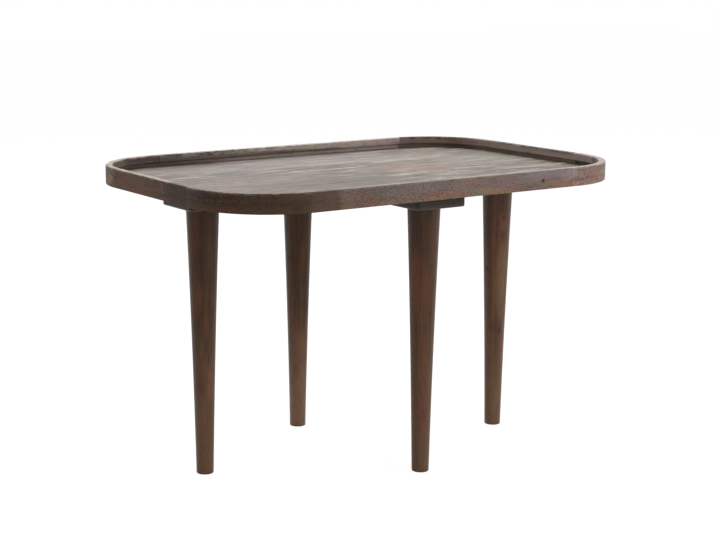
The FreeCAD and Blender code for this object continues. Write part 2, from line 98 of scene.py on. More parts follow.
class Blend(Enum):
    """How one colour lies over another."""

    PLAIN = "MIX"
    OVERLAY = "OVERLAY"


class Kind(Enum):
    """Kinds of input that a recipe takes."""

    GEOMETRY = "NodeSocketGeometry"
    LENGTH = "NodeSocketFloat"
    COUNT = "NodeSocketInt"
    PLACE = "NodeSocketVector"
    PIECE = "NodeSocketObject"
    FINISH = "NodeSocketMaterial"


class Socket:
    """Output of a node. Arithmetic on it adds Math nodes to its graph."""

    def __init__(self, graph: "Graph", output: bpy.types.NodeSocket) -> None:
        """Keep the graph and the output."""
        self.graph = graph
        self.output = output

    def other(self, name: str) -> "Socket":
        """Another output of the same node."""
        return Socket(self.graph, self.output.node.outputs[name])

    def math(self, operation: str, *values: Feed) -> "Socket":
        """Result of one Math node on the given values."""
        return self.graph.node("ShaderNodeMath", {"operation": operation}, dict(enumerate(values)))

    def through(self, operation: str) -> "Socket":
        """Result of one Math node on this alone."""
        return self.math(operation, self)

    def __add__(self, value: Feed) -> "Socket":
        """This plus a value."""
        return self.math("ADD", self, value)

    def __sub__(self, value: Feed) -> "Socket":
        """This less a value."""
        return self.math("SUBTRACT", self, value)

    def __rsub__(self, value: Feed) -> "Socket":
        """A value less this."""
        return self.math("SUBTRACT", value, self)

    def __mul__(self, value: Feed) -> "Socket":
        """This times a value."""
        return self.math("MULTIPLY", self, value)

    def __truediv__(self, value: Feed) -> "Socket":
        """This over a value."""
        return self.math("DIVIDE", self, value)

    def __mod__(self, value: Feed) -> "Socket":
        """Remainder of this over a value, never negative."""
        return self.math("FLOORED_MODULO", self, value)

    __radd__ = __add__
    __rmul__ = __mul__

    def least(self, value: Feed) -> "Socket":
        """The smaller of this and a value."""
        return self.math("MINIMUM", self, value)

    def most(self, value: Feed) -> "Socket":
        """The larger of this and a value."""
        return self.math("MAXIMUM", self, value)

    def rise(self, low: float, high: float) -> "Socket":
        """Smooth step over this value.

        Args:
            low: value at which the step is 0.
            high: value at which it is 1; the smaller of the two for a step that falls.

        Returns:
            The step, from 0 to 1.
        """
        if low > high:
            return 1 - self.rise(high, low)
        settings = {"interpolation_type": "SMOOTHSTEP"}
        return self.graph.node("ShaderNodeMapRange", settings, {0: self, 1: low, 2: high})


class Graph:
    """Node tree with one method that makes any node, and short forms of the usual ones."""

    def __init__(self, tree: bpy.types.NodeTree) -> None:
        """Keep the tree."""
        self.tree = tree

    def node(
        self,
        kind: str,
        settings: Optional[dict] = None,
        inputs: Optional[dict] = None,
        output: Union[int, str] = 0,
    ) -> Socket:
        """Make a node.

        Args:
            kind: Blender's type name of the node.
            settings: properties that are set first; "items" lists what a capture holds.
            inputs: value or socket for each input, by index or name.
            output: the output that is handed back, by index or name.

        Returns:
            The chosen output, or the first input's own wrapper where the node has none.
        """
        made = self.tree.nodes.new(kind)
        for name, value in (settings or {}).items():
            if name == "items":
                for item, item_kind in value.items():
                    made.capture_items.new(item_kind, item)
            else:
                setattr(made, name, value)
        for key, value in (inputs or {}).items():
            if isinstance(value, Socket):
                self.tree.links.new(value.output, made.inputs[key])
            else:
                made.inputs[key].default_value = value
        return Socket(self, made.outputs[output] if made.outputs else made.inputs[0])

    def joined(self, x: Feed, y: Feed, z: Feed) -> Socket:
        """Vector of three values."""
        return self.node("ShaderNodeCombineXYZ", {}, {0: x, 1: y, 2: z})

    def parts(self, vector: Socket) -> tuple[Socket, Socket, Socket]:
        """The three values of a vector."""
        first = self.node("ShaderNodeSeparateXYZ", {}, {0: vector})
        return first, first.other("Y"), first.other("Z")

    def vector_math(self, operation: str, inputs: dict, output: Union[int, str] = 0) -> Socket:
        """Result of one Vector Math node."""
        return self.node("ShaderNodeVectorMath", {"operation": operation}, inputs, output)

    def scaled(self, vector: Socket, factor: Feed) -> Socket:
        """Vector times a number."""
        return self.vector_math("SCALE", {0: vector, "Scale": factor})

    def length(self, vector: Socket) -> Socket:
        """Length of a vector."""
        return self.vector_math("LENGTH", {0: vector}, "Value")

    def place(self) -> Socket:
        """Place on the piece, which is its place on the table."""
        return self.node("ShaderNodeTexCoord", output="Object")

    def noise(
        self, place: Socket, stretch: Triple, stock: Feed, detail: float = 2.0, rough: float = 0.5
    ) -> Socket:
        """Noise from 0 to 1 about 0.5.

        Args:
            place: coordinates in metres.
            stretch: how many blotches go into a metre, each way.
            stock: number that picks another pattern for another piece of wood.
            detail: number of finer layers.
            rough: strength of the finer layers.

        Returns:
            The noise value.
        """
        where = self.vector_math("MULTIPLY", {0: place, 1: stretch})
        inputs = {"Vector": where, "W": stock, "Scale": 1.0, "Detail": detail, "Roughness": rough}
        return self.node("ShaderNodeTexNoise", {"noise_dimensions": "4D"}, inputs)

    def blend(self, first: Feed, second: Feed, share: Feed, way: Blend = Blend.PLAIN) -> Socket:
        """Lay one colour over another.

        Args:
            first: the lower colour, a socket or a display colour.
            second: the upper colour, a socket or a display colour.
            share: how much the upper colour covers.
            way: how it lies over the lower.

        Returns:
            The mixed colour.
        """
        lower, upper = (ink(tone) if isinstance(tone, tuple) else tone for tone in (first, second))
        settings = {"data_type": "RGBA", "blend_type": way.value}
        return self.node("ShaderNodeMix", settings, {0: share, 6: lower, 7: upper}, 2)


def ink(colour: Colour) -> tuple[float, ...]:
    """Turn a display colour into a shader's colour.

    Args:
        colour: red, green and blue, from 0 to 255.

    Returns:
        The same colour in linear light, with full alpha.
    """
    shares = (value / 255 for value in colour)
    linear = (
        share / 12.92 if share <= 0.04045 else ((share + 0.055) / 1.055) ** 2.4 for share in shares
    )
    return (*linear, 1.0)


def mixed(first: Socket, second: Socket, share: float) -> Socket:
    """Two values in one, with the given share of the second."""
    return first * (1 - share) + second * share


def emptied(owner: Union[bpy.types.Material, bpy.types.World]) -> Graph:
    """Clear a node tree.

    Args:
        owner: the material or world that has it.

    Returns:
        The graph of the empty tree.
    """
    owner.use_nodes = True
    owner.node_tree.nodes.clear()
    return Graph(owner.node_tree)


def faded(value: Socket, share: float) -> Socket:
    """A value brought toward one, down to the given share of it."""
    return value * share + (1 - share)


@dataclass(frozen=True)
class Surface:
    """What a finish feeds to the shader."""

    colour: Socket
    roughness: Socket
    height: Socket
    relief: float
    metallic: float = 0.0
    gloss: float = 0.5
    sheen: float = 0.0
    sheen_roughness: float = 0.3


@dataclass(frozen=True)
class Finish:
    """Base of the finishes."""

    name: str

    def surface(self, graph: Graph) -> Surface:
        """Colour, roughness and height of the finish; each finish has its own."""
        raise NotImplementedError

    def material(self) -> bpy.types.Material:
        """Make the material of this finish.

        Returns:
            The material.
        """
        made = bpy.data.materials.new(self.name)
        graph = emptied(made)
        surface = self.surface(graph)
        bump = graph.node("ShaderNodeBump", {}, {
            "Strength": 1.0, "Distance": surface.relief, "Height": surface.height,
        })
        shader = graph.node("ShaderNodeBsdfPrincipled", {}, {
            "Base Color": surface.colour, "Roughness": surface.roughness, "Normal": bump,
            "Metallic": surface.metallic, "Specular IOR Level": surface.gloss,
            "Sheen Weight": surface.sheen, "Sheen Roughness": surface.sheen_roughness,
        })
        graph.node("ShaderNodeOutputMaterial", {}, {"Surface": shader})
        return made


@dataclass(frozen=True)
class Patch:
    """Tint with an uneven edge at one place of the table, all in millimetres."""

    place: Triple
    reach: Triple
    colour: Colour
    amount: float = 0.5

    DRIFT = (1.4, 1.4, 1.4)
    DRIFT_AMOUNT = 1.6
    EDGE = (1.2, 0.5)

    def laid(self, graph: Graph, tone: Socket, place: Socket) -> Socket:
        """Lay the tint over a colour.

        Args:
            graph: the material's graph.
            tone: the colour under it.
            place: coordinates in metres.

        Returns:
            The tinted colour.
        """
        middle = tuple(value * MM for value in self.place)
        size = tuple(value * MM for value in self.reach)
        offset = graph.vector_math("SUBTRACT", {0: place, 1: middle})
        offset = graph.vector_math("DIVIDE", {0: offset, 1: size})
        drift = graph.noise(offset, self.DRIFT, sum(self.place), detail=4.0, rough=0.6) - 0.5
        share = (graph.length(offset) + drift * self.DRIFT_AMOUNT).rise(*self.EDGE)
        return graph.blend(tone, self.colour, share * self.amount)


@dataclass(frozen=True)
class Pattern:
    """Noise that one kind of mark in wood follows, with the edge at which the mark shows."""

    stretch: Triple
    pick: float = 0.0
    detail: float = 2.0
    rough: float = 0.5
    edge: Optional[Point] = None


@dataclass(frozen=True)
class Wood:
    """Coordinates along the fibres of a piece, and the number of its stock."""

    graph: Graph
    grain: Socket
    stock: Socket

    def marked(self, pattern: Pattern) -> Socket:
        """Draw a pattern along the fibres.

        Args:
            pattern: the noise to draw.

        Returns:
            The noise, or a smooth step over it where the pattern has an edge.
        """
        pick = self.stock + pattern.pick
        marks = self.graph.noise(self.grain, pattern.stretch, pick, pattern.detail, pattern.rough)
        return marks.rise(*pattern.edge) if pattern.edge else marks


WANDER = Pattern((3.0, 12.0, 12.0))
FIBRES = Pattern((18.0, 620.0, 620.0), 5.0, 3.0, 0.6)
PORES = Pattern((60.0, 1150.0, 1150.0), 9.0, 1.0, 0.5, (0.58, 0.72))
BROAD_SCRAPES = Pattern((9.0, 66.0, 66.0), 51.0, 4.0, 0.65, (0.53, 0.63))
NARROW_SCRAPES = Pattern((20.0, 160.0, 160.0), 53.0, 3.0, 0.6, (0.51, 0.61))
BROAD_CHECKS = Pattern((11.0, 85.0, 85.0), 57.0, 4.0, 0.65, (0.52, 0.61))
NARROW_CHECKS = Pattern((22.0, 200.0, 200.0), 59.0, 3.0, 0.6, (0.51, 0.6))
LEG_DRIFT = Pattern((14.0, 40.0, 40.0), 31.0, 3.0)
RIM_DRIFT = Pattern((20.0, 60.0, 60.0), 29.0, 4.0, 0.65)
WOOL = Pattern((240.0, 600.0, 600.0), 23.0, 3.0, 0.7, (0.4, 0.62))
CHAFE = Pattern((70.0, 240.0, 240.0), 37.0, 4.0, 0.7, (0.42, 0.6))


@dataclass(frozen=True)
class Timber(Finish):
    """Stained open-grained wood, greyed in places and red where the stain is thin."""

    pore: Colour
    late: Colour
    body: Colour
    early: Colour
    heart: Colour
    ash: Colour
    body_edge: Point = (0.36, 0.54)
    early_edge: Point = (0.5, 0.68)
    early_fibre: float = 0.3
    heart_from: float = 0.58
    heart_step: float = 0.14
    heart_fibre: float = 0.15
    heart_amount: float = 0.6
    heart_stretch: Triple = (3.5, 50.0, 50.0)
    ash_from: float = 0.52
    ash_step: Point = (-0.12, 0.14)
    ash_fibre: float = 0.2
    ash_amount: float = 0.5
    ash_stretch: Triple = (4.0, 22.0, 22.0)
    rings: float = 230.0
    ring_amount: float = 0.5
    streaks: Triple = (3.0, 120.0, 120.0)
    pith: Point = (0.012, -0.045)
    pith_spread: float = 0.05
    pith_turn: float = 0.731
    bend: Point = (0.03, 0.02)
    pore_amount: float = 0.5
    mottle: float = 0.3
    mottle_stretch: Triple = (22.0, 90.0, 90.0)
    patches: tuple[Patch, ...] = ()
    polish: float = 0.5
    polish_shares: Triple = (0.12, 0.3, 0.15)
    height_shares: Triple = (0.5, 0.8, 0.5)
    gloss: float = 0.2
    sheen: float = 0.0
    relief: float = 0.25 * MM

    def surface(self, graph: Graph) -> Surface:
        """Layer growth, fibres, heart, ash and pores over the stain.

        Args:
            graph: the material's graph.

        Returns:
            What the shader is fed.
        """
        grain = graph.node("ShaderNodeAttribute", {"attribute_name": "grain"}, output="Vector")
        stock = graph.node("ShaderNodeAttribute", {"attribute_name": "stock"}, output="Fac")
        wood = Wood(graph, grain, stock)
        wander = wood.marked(WANDER) - 0.5
        bend = graph.joined(0.0, wander * self.bend[0], wander * self.bend[1])
        bent = replace(wood, grain=graph.vector_math("ADD", {0: grain, 1: bend}))
        rings = self.growth(bent)
        streak = bent.marked(Pattern(self.streaks, detail=4.0, rough=0.6))
        fibre = bent.marked(FIBRES)
        pores = bent.marked(PORES)
        heart = bent.marked(Pattern(self.heart_stretch, pick=13.0, detail=3.0))
        blotch = wood.marked(Pattern(self.ash_stretch, pick=17.0, detail=4.0, rough=0.6))
        share = mixed(streak, rings, self.ring_amount)
        tone = graph.blend(self.late, self.body, share.rise(*self.body_edge))
        early = mixed(share, fibre, self.early_fibre).rise(*self.early_edge)
        tone = graph.blend(tone, self.early, early)
        reddened = mixed(heart, fibre, self.heart_fibre)
        reddened = reddened.rise(self.heart_from, self.heart_from + self.heart_step)
        tone = graph.blend(tone, self.heart, reddened * self.heart_amount)
        greyed = mixed(blotch, fibre, self.ash_fibre)
        greyed = greyed.rise(*(self.ash_from + step for step in self.ash_step))
        tone = graph.blend(tone, self.ash, greyed * self.ash_amount)
        tone = self.wear_and_painted_light(wood, tone)
        place = graph.place()
        for patch in self.patches:
            tone = patch.laid(graph, tone, place)
        motes = Pattern(self.mottle_stretch, pick=41.0, detail=4.0, rough=0.65)
        hues = wood.marked(motes).other("Color")
        tone = graph.blend(tone, hues, self.mottle, Blend.OVERLAY)
        tone = graph.blend(tone, self.pore, pores * self.pore_amount)
        of_ash, of_fibre, of_pores = self.polish_shares
        roughness = self.polish + greyed * of_ash + (fibre - 0.5) * of_fibre + pores * of_pores
        of_fibre, of_growth, of_pores = self.height_shares
        height = fibre * of_fibre + share * of_growth - pores * of_pores
        return Surface(tone, roughness, height, self.relief, gloss=self.gloss, sheen=self.sheen)

    def growth(self, bent: Wood) -> Socket:
        """Growth rings round a pith beside the piece, unevenly spaced.

        Args:
            bent: the piece's fibres, as they wander.

        Returns:
            The rings, from 0 in late wood to 1 in early wood.
        """
        x, y, z = bent.graph.parts(bent.grain)
        shift = ((bent.stock * self.pith_turn) % 1 - 0.5) * self.pith_spread
        far = bent.graph.length(bent.graph.joined(0.0, y - self.pith[0] - shift, z - self.pith[1]))
        ringed = replace(bent, grain=bent.graph.joined(far, x, 0.0))
        return ringed.marked(Pattern((self.rings, 1.5, 1.0), pick=2.0))

    def wear_and_painted_light(self, wood: Wood, tone: Socket) -> Socket:
        """Marks of use and painted light over the stain; plain timber has none."""
        return tone


@dataclass(frozen=True)
class FloorTimber(Timber):
    """Stained floor, scraped pale in streaks and checked dark between them."""

    scrape: Colour = (182, 169, 156)
    scrape_amount: float = 0.52
    check: Colour = (36, 28, 23)
    check_amount: float = 0.8
    broad_amount: float = 0.6
    narrow_amount: float = 0.5

    def wear_and_painted_light(self, wood: Wood, tone: Socket) -> Socket:
        """Lay broad and narrow scrapes, then checks, along the fibres.

        Args:
            wood: the board's fibres.
            tone: the stain's colour.

        Returns:
            The worn colour.
        """
        for broad, narrow, colour, amount in (
            (BROAD_SCRAPES, NARROW_SCRAPES, self.scrape, self.scrape_amount),
            (BROAD_CHECKS, NARROW_CHECKS, self.check, self.check_amount),
        ):
            marks = wood.marked(broad) * self.broad_amount
            marks = marks + wood.marked(narrow) * self.narrow_amount
            tone = wood.graph.blend(tone, colour, marks * amount)
        return tone


@dataclass(frozen=True)
class LegTimber(Timber):
    """Stained leg with painted shade under the tray and painted light toward its foot."""

    # Painted shade: darkens the top of the leg under the tray, and the rounding of its foot.
    painted_shade: Colour = (40, 27, 20)
    painted_shade_amount: float = 0.35
    painted_shade_edge: Point = (0.6, 1.0)
    drift: float = 0.5
    # Painted light: lightens the leg toward its foot.
    painted_light: Colour = (138, 104, 82)
    painted_light_amount: float = 0.32
    painted_light_edge: Point = (0.62, 0.05)
    # Painted highlight on the top arris, just under the block.
    painted_highlight: Colour = (112, 102, 100)
    painted_highlight_edge: Point = (392.4 * MM, 393.6 * MM)
    # Height over which the painted shade darkens the rounding of the foot.
    foot_edge: Point = (2.4 * MM, 0.8 * MM)
    painted_arris_amount: float = 0.6
    height: float = 395 * MM

    def wear_and_painted_light(self, wood: Wood, tone: Socket) -> Socket:
        """Paint shade at the top, light toward the foot, a highlight on the top arris and shade at the
        foot's rounding.

        Args:
            wood: the leg's fibres.
            tone: the stain's colour.

        Returns:
            The colour with its painted light and shade.
        """
        along = wood.graph.parts(wood.grain)[0]
        level = along / self.height + (wood.marked(LEG_DRIFT) - 0.5) * self.drift
        # Each layer is painted light: shade at the top, light toward the foot, a highlight on the top
        # arris, shade at the foot.
        for colour, share in (
            (self.painted_shade, level.rise(*self.painted_shade_edge) * self.painted_shade_amount),
            (self.painted_light, level.rise(*self.painted_light_edge) * self.painted_light_amount),
            (self.painted_highlight, along.rise(*self.painted_highlight_edge) * self.painted_arris_amount),
            (self.painted_shade, along.rise(*self.foot_edge) * self.painted_arris_amount),
        ):
            tone = wood.graph.blend(tone, colour, share)
        return tone


@dataclass(frozen=True)
class RimTimber(Timber):
    """Stained rim with a cooler crown, a warmer foot, woolly fibres, scuffs, and painted light on its
    top.
    """

    crown: Colour = (90, 78, 76)
    crown_amount: float = 0.2
    crown_edge: Point = (425 * MM, 441 * MM)
    foot: Colour = (120, 76, 50)
    foot_amount: float = 0.15
    foot_edge: Point = (436 * MM, 418 * MM)
    drift: float = 36 * MM
    wool: Colour = (140, 126, 114)
    wool_amount: float = 0.1
    hollow_amount: float = 0.7
    hollow_edge: Point = (0.35, 0.0)
    # Scuffs near the top edge take this colour; where it is dark, on the right rails, that band is
    # painted shade along the top edge.
    scuff_and_shading: Colour = (190, 182, 172)
    scuff_and_shading_amount: float = 0.2
    scuff_and_shading_depth: float = 4 * MM
    # Painted light on the upward faces of the top, in the same colour: a painted sheen where it is
    # pale, painted shade where it is dark.
    painted_top_amount: float = 0.2
    painted_top_chafe: float = 0.4
    painted_top_from: Point = (-0.5, -0.4)
    painted_top_along: float = 0.8
    painted_top_slope: Point = (0.86, 0.99)
    hatch_amount: float = 0.0
    hatch_at: float = 216 * MM
    hatch_stretch: Triple = (1300.0, 60.0, 60.0)
    hatch_pick: float = 3.0
    hatch_line: Point = (0.5, 0.62)
    hatch_reach: Point = (13 * MM, 3 * MM)
    hatch_edge: Point = (426 * MM, 433 * MM)
    level: float = 445 * MM

    def wear_and_painted_light(self, wood: Wood, tone: Socket) -> Socket:
        """Tint crown and foot, then lay wool, scuffs and scratches over them, and paint light on the
        top's upward faces.

        Args:
            wood: the rail's fibres.
            tone: the stain's colour.

        Returns:
            The colour, with the painted light on its top.
        """
        graph = wood.graph
        place = graph.place()
        x, _, height = graph.parts(place)
        lifted = height + (wood.marked(RIM_DRIFT) - 0.5) * self.drift
        wool, chafe = wood.marked(WOOL), wood.marked(CHAFE)
        edge = height.rise(self.level - self.scuff_and_shading_depth, self.level - 0.5 * MM)
        for colour, share in (
            (self.crown, lifted.rise(*self.crown_edge) * self.crown_amount),
            (self.foot, lifted.rise(*self.foot_edge) * self.foot_amount),
            (self.wool, wool * self.wool_amount),
            (self.pore, wool.rise(*self.hollow_edge) * self.wool_amount * self.hollow_amount),
            (self.scuff_and_shading, chafe * edge * self.scuff_and_shading_amount),
        ):
            tone = graph.blend(tone, colour, share)
        tone = self.hatched(graph, tone, place)
        # Painted sheen on the upward faces of the top; painted shade where the colour is dark.
        upward = graph.parts(graph.node("ShaderNodeNewGeometry", output="Normal"))[2]
        top = upward.rise(*self.painted_top_slope) * faded(chafe, self.painted_top_chafe)
        top = top * faded(x.rise(*self.painted_top_from), self.painted_top_along)
        return graph.blend(tone, self.scuff_and_shading, top * self.painted_top_amount)

    def hatched(self, graph: Graph, tone: Socket, place: Socket) -> Socket:
        """Draw fine upright scratches beside a seam, where the finish has them.

        Args:
            graph: the material's graph.
            tone: the colour under them.
            place: coordinates in metres.

        Returns:
            The scratched colour.
        """
        if not self.hatch_amount:
            return tone
        x, _, height = graph.parts(place)
        lines = graph.noise(place, self.hatch_stretch, self.hatch_pick).rise(*self.hatch_line)
        near = (x - self.hatch_at).through("ABSOLUTE").rise(*self.hatch_reach)
        share = lines * near * height.rise(*self.hatch_edge)
        return graph.blend(tone, self.scuff_and_shading, share * self.hatch_amount)


@dataclass(frozen=True)
class Metal(Finish):
    """Zinc-plated steel with a fine brushed haze."""

    bright: Colour = (196, 194, 184)
    dull: Colour = (140, 138, 128)
    cloud: Triple = (180.0, 180.0, 180.0)
    cloud_edge: Point = (0.35, 0.65)
    brush: Triple = (300.0, 300.0, 4000.0)
    polish: float = 0.3
    polish_shares: Point = (0.2, 0.1)
    relief: float = 0.02 * MM

    def surface(self, graph: Graph) -> Surface:
        """Lay cloudy plating over brushed steel.

        Args:
            graph: the material's graph.

        Returns:
            What the shader is fed.
        """
        place = graph.place()
        cloud = graph.noise(place, self.cloud, stock=2.0, detail=3.0)
        brush = graph.noise(place, self.brush, stock=5.0)
        tone = graph.blend(self.dull, self.bright, cloud.rise(*self.cloud_edge))
        of_cloud, of_brush = self.polish_shares
        roughness = self.polish + cloud * of_cloud + brush * of_brush
        return Surface(tone, roughness, brush, self.relief, metallic=1.0)


class Recipe:
    """Geometry Nodes tree with named inputs, the first its geometry and the last its finish."""

    def __init__(self, name: str, **kinds: Kind) -> None:
        """Start the tree with its inputs.

        Args:
            name: the tree's name.
            kinds: kind of each input between geometry and finish, by name.
        """
        self.tree = bpy.data.node_groups.new(name, "GeometryNodeTree")
        self.graph = Graph(self.tree)
        self.keys: dict[str, str] = {}
        for label, kind in {"Geometry": Kind.GEOMETRY, **kinds, "Finish": Kind.FINISH}.items():
            item = self.tree.interface.new_socket(
                name=label, in_out="INPUT", socket_type=kind.value
            )
            self.keys[label] = item.identifier
        source = self.tree.nodes.new("NodeGroupInput")
        sockets = [Socket(self.graph, source.outputs[label]) for label in self.keys]
        self.geometry, *self.given, self.finish = sockets

    def captured(
        self, geometry: Socket, fields: dict[str, tuple[str, Socket]]
    ) -> tuple[Socket, dict[str, Socket]]:
        """Freeze fields on a geometry.

        Args:
            geometry: the geometry that carries them.
            fields: kind and socket of each field, by name.

        Returns:
            The geometry, and each frozen field by name.
        """
        kinds = {name: kind for name, (kind, _) in fields.items()}
        inputs = {0: geometry, **{name: field for name, (_, field) in fields.items()}}
        held = self.graph.node("GeometryNodeCaptureAttribute", {"items": kinds}, inputs)
        return held, {name: held.other(name) for name in fields}

    def stored(self, geometry: Socket, name: str, kind: str, value: Feed) -> Socket:
        """Store a named attribute on the points of a geometry.

        Args:
            geometry: the geometry that gets it.
            name: the attribute's name.
            kind: Blender's name for its kind.
            value: what is stored.

        Returns:
            The geometry with the attribute.
        """
        settings = {"data_type": kind, "domain": "POINT"}
        inputs = {0: geometry, "Name": name, "Value": value}
        return self.graph.node("GeometryNodeStoreNamedAttribute", settings, inputs)

    def named(self, name: str, kind: str) -> Socket:
        """Read a named attribute."""
        return self.graph.node("GeometryNodeInputNamedAttribute", {"data_type": kind}, {0: name})

    def close(self, geometry: Socket) -> None:
        """Realize instances, set the finish and end the tree.

        Args:
            geometry: what the tree makes.
        """
        real = self.graph.node("GeometryNodeRealizeInstances", {}, {0: geometry})
        dressed = self.graph.node(
            "GeometryNodeSetMaterial", {}, {0: real, "Material": self.finish}
        )
        self.tree.interface.new_socket(
            name="Result", in_out="OUTPUT", socket_type=Kind.GEOMETRY.value
        )
        self.graph.node("NodeGroupOutput", {}, {0: dressed})

    def use_on(self, piece: bpy.types.Object, finish: bpy.types.Material, **values: Feed) -> None:
        """Give a piece this recipe.

        Args:
            piece: the piece.
            finish: the material that it gets.
            values: a value for each other input, by name.
        """
        modifier = piece.modifiers.new(self.tree.name, "NODES")
        modifier.node_group = self.tree
        for name, value in {"Finish": finish, **values}.items():
            modifier[self.keys[name]] = value


class Sweep(Recipe):
    """Section carried along a level path, which keeps its place along and around."""

    def __init__(self) -> None:
        """Build the tree."""
        super().__init__(
            "sweep", Section=Kind.PIECE, Start=Kind.LENGTH, Run=Kind.LENGTH,
            Softening=Kind.LENGTH, Reach=Kind.LENGTH,
        )
        graph = self.graph
        section, start, run, soft, reach = self.given
        path = graph.node("GeometryNodeMeshToCurve", {}, {0: self.geometry})
        path = graph.node("GeometryNodeSetCurveNormal", {"mode": "Z_UP"}, {0: path})
        path, held = self.captured(path, {
            "Along": ("FLOAT", graph.node("GeometryNodeSplineParameter", output="Length")),
            "Heading": ("VECTOR", graph.node("GeometryNodeInputTangent")),
        })
        shape = graph.node("GeometryNodeObjectInfo", {}, {0: section}, "Geometry")
        ring = graph.node("GeometryNodeMeshToCurve", {}, {0: shape})
        ring, around = self.captured(ring, {
            "Around": ("FLOAT", graph.node("GeometryNodeSplineParameter", output="Length")),
        })
        swept = graph.node("GeometryNodeCurveToMesh", {}, {0: path, 1: ring, "Fill Caps": True})
        along, heading = held["Along"], held["Heading"]
        normal = graph.node("GeometryNodeInputNormal")
        forward = graph.vector_math("DOT_PRODUCT", {0: normal, 1: heading}, "Value")
        level = graph.vector_math("SUBTRACT", {0: normal, 1: graph.scaled(heading, forward)})
        closeness = 1 - (along.least(run - along) / reach).least(1.0)
        offset = graph.scaled(level, closeness * soft * -1.0)
        eased = graph.node("GeometryNodeSetPosition", {}, {0: swept, "Offset": offset})
        grain = graph.joined(along + start, around["Around"], 0.0)
        self.close(self.stored(eased, "grain", "FLOAT_VECTOR", grain))


class Lathe(Recipe):
    """Profile turned about the upright axis, with a thread or flutes where it is marked."""

    JOIN = 0.001 * MM

    def __init__(self) -> None:
        """Build the tree."""
        super().__init__("lathe", Facets=Kind.COUNT, Flutes=Kind.COUNT, Place=Kind.PLACE)
        graph = self.graph
        facets, flutes, place = self.given
        around = facets + 1
        rows = graph.node(
            "GeometryNodeAttributeDomainSize", {"component": "MESH"}, {0: self.geometry}
        )
        grid = graph.node("GeometryNodeMeshGrid", {}, {"Vertices X": rows, "Vertices Y": around})
        index = graph.node("GeometryNodeInputIndex")
        row = (index / around).through("FLOOR")
        turn = (index % around) / facets
        radius, _, height = graph.parts(self.sampled("FLOAT_VECTOR", row))
        phase = (self.sampled("FLOAT", row, "turns") - turn) % 1
        radius = radius - self.sampled("FLOAT", row, "cut") * (phase * 2 - 1).through("ABSOLUTE")
        angle = turn * math.tau
        ripple = (angle * flutes).through("COSINE") * 0.5 + 0.5
        radius = radius - self.sampled("FLOAT", row, "flute") * ripple
        position = graph.joined(
            radius * angle.through("COSINE"), radius * angle.through("SINE"), height
        )
        turned = graph.node("GeometryNodeSetPosition", {}, {
            0: grid, "Position": position, "Offset": place,
        })
        merged = graph.node("GeometryNodeMergeByDistance", {}, {0: turned, "Distance": self.JOIN})
        self.close(graph.node("GeometryNodeFlipFaces", {}, {0: merged}))

    def sampled(self, kind: str, row: Socket, name: Optional[str] = None) -> Socket:
        """Value at a row of the profile.

        Args:
            kind: Blender's name for the value's kind.
            row: number of the row.
            name: a named mark, or none for the row's place.

        Returns:
            The value.
        """
        source = self.named(name, kind) if name else self.graph.node("GeometryNodeInputPosition")
        return self.graph.node("GeometryNodeSampleIndex", {"data_type": kind, "domain": "POINT"}, {
            "Geometry": self.geometry, "Value": source, "Index": row,
        })


class Scatter(Recipe):
    """Copies of one piece at marked places, each turned by chance about its own axis."""

    def __init__(self) -> None:
        """Build the tree."""
        super().__init__("scatter", Piece=Kind.PIECE, Seed=Kind.COUNT)
        graph = self.graph
        piece, seed = self.given
        shape = graph.node("GeometryNodeObjectInfo", {}, {0: piece}, "Geometry")
        upright = graph.node("FunctionNodeAlignRotationToVector", {"axis": "Z"}, {
            "Vector": self.named("lay", "FLOAT_VECTOR"),
        })
        chance = graph.node("FunctionNodeRandomValue", {"data_type": "FLOAT"}, {
            2: 0.0, 3: math.tau, "Seed": seed,
        }, 1)
        spin = graph.node("FunctionNodeAxisAngleToRotation", {}, {0: (0.0, 0.0, 1.0), 1: chance})
        turned = graph.node("FunctionNodeRotateRotation", {"rotation_space": "LOCAL"}, {
            0: upright, 1: spin,
        })
        self.close(graph.node("GeometryNodeInstanceOnPoints", {}, {
            0: self.geometry, "Instance": shape, "Rotation": turned,
        }))


class Relief(Recipe):
    """Fibre relief sunk into a wooden piece, with the grain that its finish follows."""

    STRETCH = (7.0, 230.0, 230.0)
    EDGE = (0.3, 0.7)

    def __init__(self, grain: Grain) -> None:
        """Build the tree.

        Args:
            grain: where the fibres run.
        """
        super().__init__(
            "relief_" + grain.value, Depth=Kind.LENGTH, Stock=Kind.LENGTH, Middle=Kind.PLACE
        )
        graph = self.graph
        depth, stock, middle = self.given
        position = graph.node("GeometryNodeInputPosition")
        x, y, z = graph.parts(graph.vector_math("SUBTRACT", {0: position, 1: middle}))
        fibres = {
            Grain.ALONG_X: graph.joined(x, y, z),
            Grain.ALONG_Z: graph.joined(z, x, y),
            Grain.ALONG_PATH: self.named("grain", "FLOAT_VECTOR"),
        }[grain]
        marked = self.stored(self.geometry, "grain", "FLOAT_VECTOR", fibres)
        marked = self.stored(marked, "stock", "FLOAT", stock)
        furrows = graph.noise(fibres, self.STRETCH, stock, detail=3.0, rough=0.6).rise(*self.EDGE)
        sunk = graph.scaled(graph.node("GeometryNodeInputNormal"), furrows * depth * -1.0)
        self.close(graph.node("GeometryNodeSetPosition", {}, {0: marked, "Offset": sunk}))


